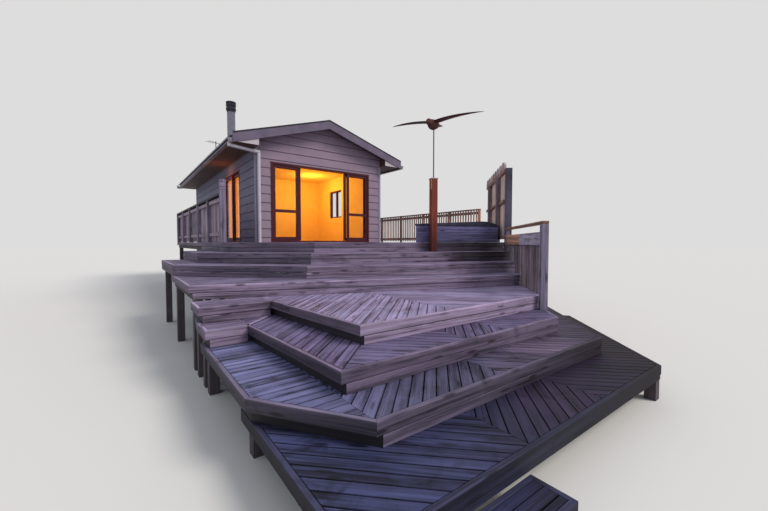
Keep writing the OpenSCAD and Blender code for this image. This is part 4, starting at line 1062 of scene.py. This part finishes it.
picketSettings = {"wide": 0.045, "step": 0.105, "thick": 0.022, "bays": 5, "post": 0.07,
                  "railsAt": (0.09, 0.86), "railDeep": 0.08, "cap": 0.035}
s = picketSettings
picketLow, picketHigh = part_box("picket_fence")
postX, picketY, run = picketHigh[0] - s["post"], picketLow[1], picketHigh[1] - picketLow[1]
under = picketHigh[2] - s["cap"] - clear
first = plank((postX + 0.006, picketY, floorZ + 0.04),
              (postX + 0.006 + s["thick"], picketY + s["wide"], under), across=acrossY)
count = int((run - s["wide"]) / s["step"]) + 1
boardPiece(rowOf(first, count, (0, s["step"], 0)), "pickets", "pickets", "picket_fence",
           across=acrossY)
post = plank((postX, picketY, floorZ + clear), (picketHigh[0], picketY + s["post"], under),
             soft=0.005)
boardPiece(rowOf(post, s["bays"] + 1, (0, (run - s["post"]) / s["bays"], 0)), "picket_posts",
           "pickets", "picket_fence")
rails = [plank((postX + 0.03, picketY + 0.01, floorZ + z),
               (postX + 0.07, picketHigh[1] - 0.01, floorZ + z + s["railDeep"]),
               alongY, upright) for z in s["railsAt"]]
rails.append(plank((postX - 0.01, picketY, picketHigh[2] - s["cap"]), picketHigh, alongY,
                   alongX, 0.006))
boardPiece(rails, "picket_rails", "picketRail", "picket_fence", alongY, upright)
print("fences built")

# the slanting edge: X runs along it, Y is the distance inward
slantX = max(p[0] - p[1] for p in outlineAt("upper_deck", floorZ))
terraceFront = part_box("terrace_one")[0][1]
slantOrigin = Vector((terraceFront + slantX, terraceFront, 0))
slantAlong, slantIn = Vector((1, 1, 0)).normalized(), Vector((-1, 1, 0)).normalized()


def alongSlant(point):
    offset = Vector((*point, 0)) - slantOrigin
    return offset.dot(slantAlong), offset.dot(slantIn)


def slantPiece(parts, name, look, node, along=upright, across=slantAlong):
    parts = [turned(part, math.pi / 4, slantOrigin) for part in parts]
    boardPiece(parts, name, look, node, along, across)


screenSettings = {"start": 2.2, "long": 2.4, "line": 0.065, "post": 0.09, "nearPost": 0.123,
                  "inner": (2.83, 3.95), "capZ": floorZ + 1.44, "railsAt": (0.06, 0.78),
                  "beam": 0.08, "panelThick": 0.015, "boards": 20, "scallops": 8,
                  "scallopHigh": 0.15, "scallopCurve": 0.06, "scallopThick": 0.05}
s = screenSettings
start, line, wide, capZ = s["start"], s["line"], s["post"], s["capZ"]
end, outer = start + s["long"], line - wide - s["panelThick"]
posts = [plank((start, outer, floorZ - riser + clear), (start + wide, outer + s["nearPost"], capZ),
               soft=0.006),
         plank((end - wide, outer, floorZ + clear), (end, outer + wide - clear, capZ), soft=0.006)]
slantPiece(posts, "tall_screen_posts", "screenPost", "tall_screen")
posts = [plank((place, line + clear, floorZ + clear),
               (place + wide, line + wide, capZ - s["beam"] - clear), soft=0.005)
         for place in s["inner"]]
slantPiece(posts, "tall_screen_inner_posts", "innerPost", "tall_screen")
first = start + wide + clear
step = (end - first) / s["boards"]
board = addBlock((first, line - s["panelThick"], floorZ + 0.08),
                 (first + step - clear, line, capZ - clear), 0.002)
slantPiece(rowOf(board, s["boards"], (step, 0, 0)), "tall_screen_boards", "screenPale",
           "tall_screen")
rails = [plank((first, line + clear, floorZ + z), (end, line + 0.045, floorZ + z + 0.06),
               alongX, upright) for z in s["railsAt"]]
rails.append(plank((first, line + clear, capZ - s["beam"]), (end, line + 0.04, capZ - clear),
                   alongX, upright))
slantPiece(rails, "tall_screen_rails", "screenRail", "tall_screen", slantAlong, upright)
tileLong = (end - first) / s["scallops"]
half, curve = tileLong / 2 - 0.004, s["scallopCurve"]
radius = (half ** 2 + curve ** 2) / (2 * curve)
middle, height = first + tileLong / 2, capZ + s["scallopHigh"] - radius
tile = addRod((middle, line + 0.04 - s["scallopThick"], height), (middle, line + 0.04, height),
              radius, 96)
for point, outward in (((0, 0, capZ), (0, 0, -1)), ((middle - half, 0, 0), (-1, 0, 0)),
                       ((middle + half, 0, 0), (1, 0, 0))):
    cutOff(tile, point, outward)
softenEdges(tile, 0.004, 2, 50)
slantPiece(rowOf(smoothed(tile, 30), s["scallops"], (tileLong, 0, 0)), "tall_screen_scallops",
           "scallop", "tall_screen")

stairScreen = {"post": 0.09, "near": -0.185, "gap": 0.03, "top": floorZ + 0.235, "rail": 0.04,
               "boxLow": floorZ - 0.04, "boxHigh": floorZ + 0.135, "board": 0.095,
               "step": 0.14, "slatThick": 0.02}
s = stairScreen
near, wide, far = s["near"], s["post"], start - s["gap"]


def stairUnder(place):
    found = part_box("stair_landing")[0][2]
    for node in ("stair_landing", "stair_step_two", "stair_step_one"):
        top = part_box(node)[1][2]
        ends = [alongSlant(p)[0] for p in outlineAt(node, top) if abs(p[0] - p[1] - slantX) < 0.01]
        if place >= min(ends) - stairScreen["post"]:
            found = top
    return found


posts = [plank((near, 0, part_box("stair_screen")[0][2] + clear), (near + wide, wide, s["top"]),
               soft=0.006),
         plank((far - 0.08, 0.02, s["boxHigh"]), (far, 0.08, s["top"]), soft=0.004)]
slantPiece(posts, "stair_screen_posts", "stairPost", "stair_screen")
rail = plank((near, -0.005, s["top"]), (far, wide + 0.005, s["top"] + s["rail"]), alongX,
             acrossY, 0.012)
slantPiece([rail], "stair_screen_rail", "screenRail", "stair_screen", slantAlong, slantIn)
middle = (near + wide + far) / 2
planks = [plank((a, 0.005, s["boxLow"]), (b, wide - 0.005, s["boxHigh"]), alongX, upright)
          for a, b in ((near + wide, middle - clear), (middle + clear, far))]
for board, name, look in zip(planks, ("near", "far"), ("plankGrey", "plankWarm")):
    slantPiece([board], "stair_screen_plank_" + name, look, "stair_screen", slantAlong, upright)
slats, place, slatLow = [], wide, (wide - s["slatThick"]) / 2
while place < far - s["board"]:
    slats.append(plank((place, slatLow, stairUnder(place) + 0.002),
                       (place + s["board"], slatLow + s["slatThick"], s["boxLow"])))
    place += s["step"]
slantPiece(slats, "stair_screen_slats", "screen", "stair_screen")
print("screens built")

# the raised surround and its crowned lid
surroundSettings = {"courses": 4, "under": 0.318, "side": 0.348, "crownHigh": 0.42,
                    "crown": 0.2, "lip": 0.012, "thick": 0.024,
                    "cuts": (0.025, 0.05, 0.08, 0.11, 0.15, 0.2, 0.26, 0.4, 0.7)}
s = surroundSettings
outline = outlineAt("raised_surround", floorZ)
siding, high, under = [], s["under"] / s["courses"], floorZ + s["under"]
for i in range(s["courses"]):
    siding += edgeBoards(outline, floorZ + i * high + clear, floorZ + (i + 1) * high - 2 * clear,
                         s["thick"], 0.004)
finished(joined(siding, "surround_siding"), "surround", "surround_timber", "raised_surround")
liner = insetBy(outline, s["thick"] + clear)
xs, ys = zip(*liner)
backing = trimTo(addBlock((min(xs), min(ys), floorZ + clear), (max(xs), max(ys), under - clear)),
                 liner)
finished(joined([backing], "surround_frame"), "posts", "surround_timber", "raised_surround")

xs, ys = zip(*[alongSlant(p) for p in outline])
lidLow, lidHigh, lidSide = min(ys) - s["lip"], max(ys) + s["lip"], floorZ + s["side"]
lid = addBlock((min(xs) - past, lidLow, under + clear), (max(xs) + past, lidHigh, lidSide))
startEdit(lid)
for share in s["cuts"]:
    bpy.ops.mesh.select_all(action="SELECT")
    bpy.ops.mesh.bisect(plane_co=(0, lidLow + share * (lidHigh - lidLow), 0),
                        plane_no=(0, 1, 0))
endEdit()
for share in s["cuts"]:
    rise, crown = s["crownHigh"] - s["side"] - clear, s["crown"]
    rise *= 1 - (1 - share / crown) ** 2 if share < crown else (1 - share) / (1 - crown)
    cutY = lidLow + share * (lidHigh - lidLow)
    moveVertices(lid, lambda vertex: (abs(vertex.co.y - cutY) < 0.001
                                      and vertex.co.z > lidSide - 0.002), (0, 0, rise))
turned(lid, math.pi / 4, slantOrigin)
rims = [0 if runOf(p, q).dot(slantAlong.xy) > 0.99 else -s["lip"] for p, q in edgesOf(outline)]
trimTo(lid, insetBy(outline, rims))
softenEdges(lid, 0.007, 3, 40)
boardPiece([smoothed(lid, 30)], "surround_lid", "lid", "raised_surround", slantAlong, slantIn)

# the red post, its cap and its strap
postSettings = {"wide": 0.12, "cap": 0.02, "capOut": 0.008, "turn": math.radians(-19.1),
                "strapWide": 0.022, "strapLong": 0.19, "strapThick": 0.003,
                "boltsAt": (0.06, 0.17), "bolt": 0.006, "rod": 0.011}
s = postSettings
postLow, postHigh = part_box("red_post")
spot = ((postLow[0] + postHigh[0]) / 2, (postLow[1] + postHigh[1]) / 2, 0)
half, capLow = s["wide"] / 2, postHigh[2] - s["cap"]
edge = half + s["capOut"]
shaft = plank((-half, -half, postLow[2] + clear), (half, half, capLow), soft=0.007)
finished(joined([turned(shaft, s["turn"], spot)], "red_post_shaft"), "redPost",
         "red_post_paint", "red_post")
cap = plank((-edge, -edge, capLow), (edge, edge, postHigh[2]), alongX, acrossY, 0.004)
finished(joined([turned(cap, s["turn"], spot)], "red_post_cap"), "postCap", "red_post_paint",
         "red_post")
strapY = -half * 0.7
strap = addBlock((-half - s["strapThick"], strapY - s["strapWide"] / 2, capLow - s["strapLong"]),
                 (-half, strapY + s["strapWide"] / 2, capLow - clear))
softenEdges(strap, 0.001, 1)
heads = [addRod((-half - 0.0065, strapY, postHigh[2] - z), (-half - 0.002, strapY,
                                                            postHigh[2] - z), s["bolt"], 12)
         for z in s["boltsAt"]]
finished(turned(joined([strap] + heads, "red_post_strap"), s["turn"], spot), "downpipe",
         "stainless_steel")

birdSettings = {"turn": math.radians(-79), "roll": math.radians(5), "high": 2.23, "span": 2.06,
                "body": 0.453, "thick": 0.205, "wingThick": 0.13, "drop": 0.03, "tip": 0.012}


def growSkin(stations, sides):
    # a closed skin grown ring by ring along Y: place, half width, half height
    deselectAll()
    bpy.ops.mesh.primitive_circle_add(vertices=sides, radius=1, fill_type="NGON",
                                      rotation=(math.pi / 2, 0, 0))
    skin = dropLayers(applyPlace(bpy.context.object))
    startEdit(skin)
    place, wide, high = stations[0]
    bpy.ops.transform.resize(value=(wide, 1, high))
    bpy.ops.transform.translate(value=place)
    for before, after in zip(stations, stations[1:]):
        step = Vector(after[0]) - Vector(before[0])
        bpy.ops.mesh.extrude_region_move(TRANSFORM_OT_translate={"value": tuple(step)})
        bpy.ops.transform.resize(value=(after[1] / before[1], 1, after[2] / before[2]))
    endEdit()
    return faceOut(skin)


# stations: place along, rise or place ahead, half width and half height, as shares
bodyStations = ((-0.55, -0.18, 0.05, 0.05), (-0.49, -0.06, 0.16, 0.17), (-0.45, 0.06, 0.42, 0.46),
                (-0.38, 0.12, 0.56, 0.60), (-0.31, 0.05, 0.55, 0.57), (-0.22, -0.06, 0.72, 0.76),
                (-0.08, -0.14, 0.97, 0.98), (0.07, -0.08, 0.92, 0.88), (0.20, 0.0, 0.66, 0.60),
                (0.31, 0.08, 0.48, 0.32), (0.42, 0.12, 0.62, 0.14), (0.52, 0.14, 0.78, 0.06))
wingStations = ((0.02, 0.0, 0.008, 0.20, 0.26), (0.12, 0.03, 0.020, 0.205, 0.22),
                (0.29, 0.07, 0.036, 0.19, 0.18), (0.50, 0.08, 0.048, 0.155, 0.14),
                (0.72, 0.075, 0.052, 0.11, 0.11), (0.89, 0.05, 0.050, 0.06, 0.075),
                (0.97, 0.03, 0.047, 0.025, 0.04), (1.0, 0.02, 0.045, 0.008, 0.02))
b = birdSettings
long, thick, flat = b["body"], b["thick"] / 2, b["wingThick"] / 2
reach, perch = b["span"] / 2 - b["tip"], floorZ + b["high"]
body = growSkin([((0, share * long, rise * thick - b["drop"]), wide * thick, high * thick)
                 for share, rise, wide, high in bodyStations], 20)
wing = growSkin([((ahead * long, share * reach, rise * reach), wide * long, high * flat)
                 for share, ahead, rise, wide, high in wingStations], 14)
turned(wing, -math.pi / 2)
twin = placed(duplicated(wing), scale=(-1, 1, 1))
bird = applyModifier(joined([body, wing, twin], "carved_bird"), "SUBSURF", levels=1)
smoothed(faceOut(bird), 60)
placed(bird, turn=(0, b["roll"], 0))
turned(bird, b["turn"], (*spot[:2], perch))
span = Vector((math.cos(b["turn"]), math.sin(b["turn"]), 0))
finished(tagBoards(bird, span, (-span.y, span.x, 0)), "bird", "bird_timber", "bird_vane")
rod = addRod((*spot[:2], postHigh[2] - clear), (*spot[:2], perch - flat * 0.6),
             postSettings["rod"], 16)
collar = addRod((*spot[:2], postHigh[2] - clear / 2), (*spot[:2], postHigh[2] + 0.012), 0.022, 20)
finished(smoothed(joined([rod, collar], "bird_rod")), "aerial", "stainless_steel", "bird_vane")
print("post and bird built")

# the round lamp on the ceiling
lampSettings = {"place": (0.95, 1.1), "radius": 0.13, "drop": 0.07, "base": 0.012,
                "rimOut": 0.008}
s = lampSettings
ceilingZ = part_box("ceiling")[0][2]
shadeZ = ceilingZ - s["base"]
deselectAll()
bpy.ops.mesh.primitive_uv_sphere_add(segments=32, ring_count=16, radius=s["radius"])
shade = dropLayers(placed(bpy.context.object, (*s["place"], shadeZ),
                          scale=(1, 1, s["drop"] / s["radius"])))
cutOff(shade, (0, 0, shadeZ), (0, 0, 1))
tree, shader = startMaterial("lampShade", Roughness=0.4, Emission_Strength=0.9,
                             Emission_Color=tint("ffdf9a"))
warmth = noise(tree, objectPlace(tree), 9.0, 3)
endMaterial(tree, shader, ramp(tree, warmth, [(0.3, "ffd9a0"), (0.7, "ffe6bd")]))
finished(joined([smoothed(shade, 40)], "ceiling_lamp"), "lampShade", "room_lining")
rim = addRod((*s["place"], shadeZ - 0.002), (*s["place"], ceilingZ), s["radius"] + s["rimOut"], 40)
softenEdges(rim, 0.004, 3)
finished(joined([smoothed(rim)], "lamp_rim"), "stainless", "stainless_steel")

# stage, lamps and camera
tree, shader = startMaterial("studioFloor", Roughness=1.0, Specular_IOR_Level=0.0)
path = addNode(tree, "LightPath")
endMaterial(tree, shader, mixed(tree, path.outputs["Is Camera Ray"], "bdbcbc", "e6e7e3"))
deselectAll()
bpy.ops.mesh.primitive_plane_add(size=400, location=(2, 0, 0))
ground = bpy.context.object
ground.name = "studio_floor"
ground.data.materials.append(finish["studioFloor"])

world = bpy.data.worlds.new("studioSky")
bpy.context.scene.world = world
world.use_nodes = True
sky = world.node_tree
sky.nodes.clear()
path = addNode(sky, "LightPath")
direct = calc(sky, "MAXIMUM", path.outputs["Is Camera Ray"], path.outputs["Is Transmission Ray"])
lit = addNode(sky, "Background", {"Color": tint("e4e6f2"), "Strength": 0.64})
seen = addNode(sky, "Background", {"Color": tint("dedddd"), "Strength": 1.0})
blend = addNode(sky, "MixShader", {0: direct, 1: lit.outputs[0], 2: seen.outputs[0]})
addNode(sky, "OutputWorld", {0: blend.outputs[0]})

# kind, place, power, size (an angle for the sun) and colour; each aims at the origin
lampRows = {
    "key": ("SUN", (6, -9, 10), 2.0, math.radians(25), "fff6ee"),
    "room": ("POINT", (*s["place"], ceilingZ - 0.3), 60, 0.12, "ffcb59"),
    "roomBack": ("POINT", (2.7, 2.6, ceilingZ - 0.5), 50, 0.15, "ffcb59"),
    "sideDoor": ("POINT", (-0.3, 2.4, ceilingZ - 0.45), 7, 0.08, "ff9c50"),
}
for name, (kind, place, energy, size, colour) in lampRows.items():
    light = bpy.data.lights.new(name, kind)
    light.energy, light.color = energy, tint(colour)[:3]
    if kind == "SUN":
        light.angle = size
    else:
        light.shadow_soft_size = size
    lamp = bpy.data.objects.new(name, light)
    bpy.context.collection.objects.link(lamp)
    lamp.location = place
    lamp.rotation_euler = (-Vector(place)).to_track_quat("-Z", "Y").to_euler()
    lamp.visible_camera = lamp.visible_transmission = lamp.visible_glossy = False

view = bpy.data.cameras.new("photoView")
view.lens, view.sensor_width, view.clip_end = 16.5, 36, 400
camera = bpy.data.objects.new("photoView", view)
bpy.context.collection.objects.link(camera)
camera.location = (-2.726, -8.943, 1.575)
camera.rotation_euler = (math.radians(87.85), 0, math.radians(-36.85))
bpy.context.scene.camera = camera
bpy.context.scene.view_settings.view_transform = "Standard"
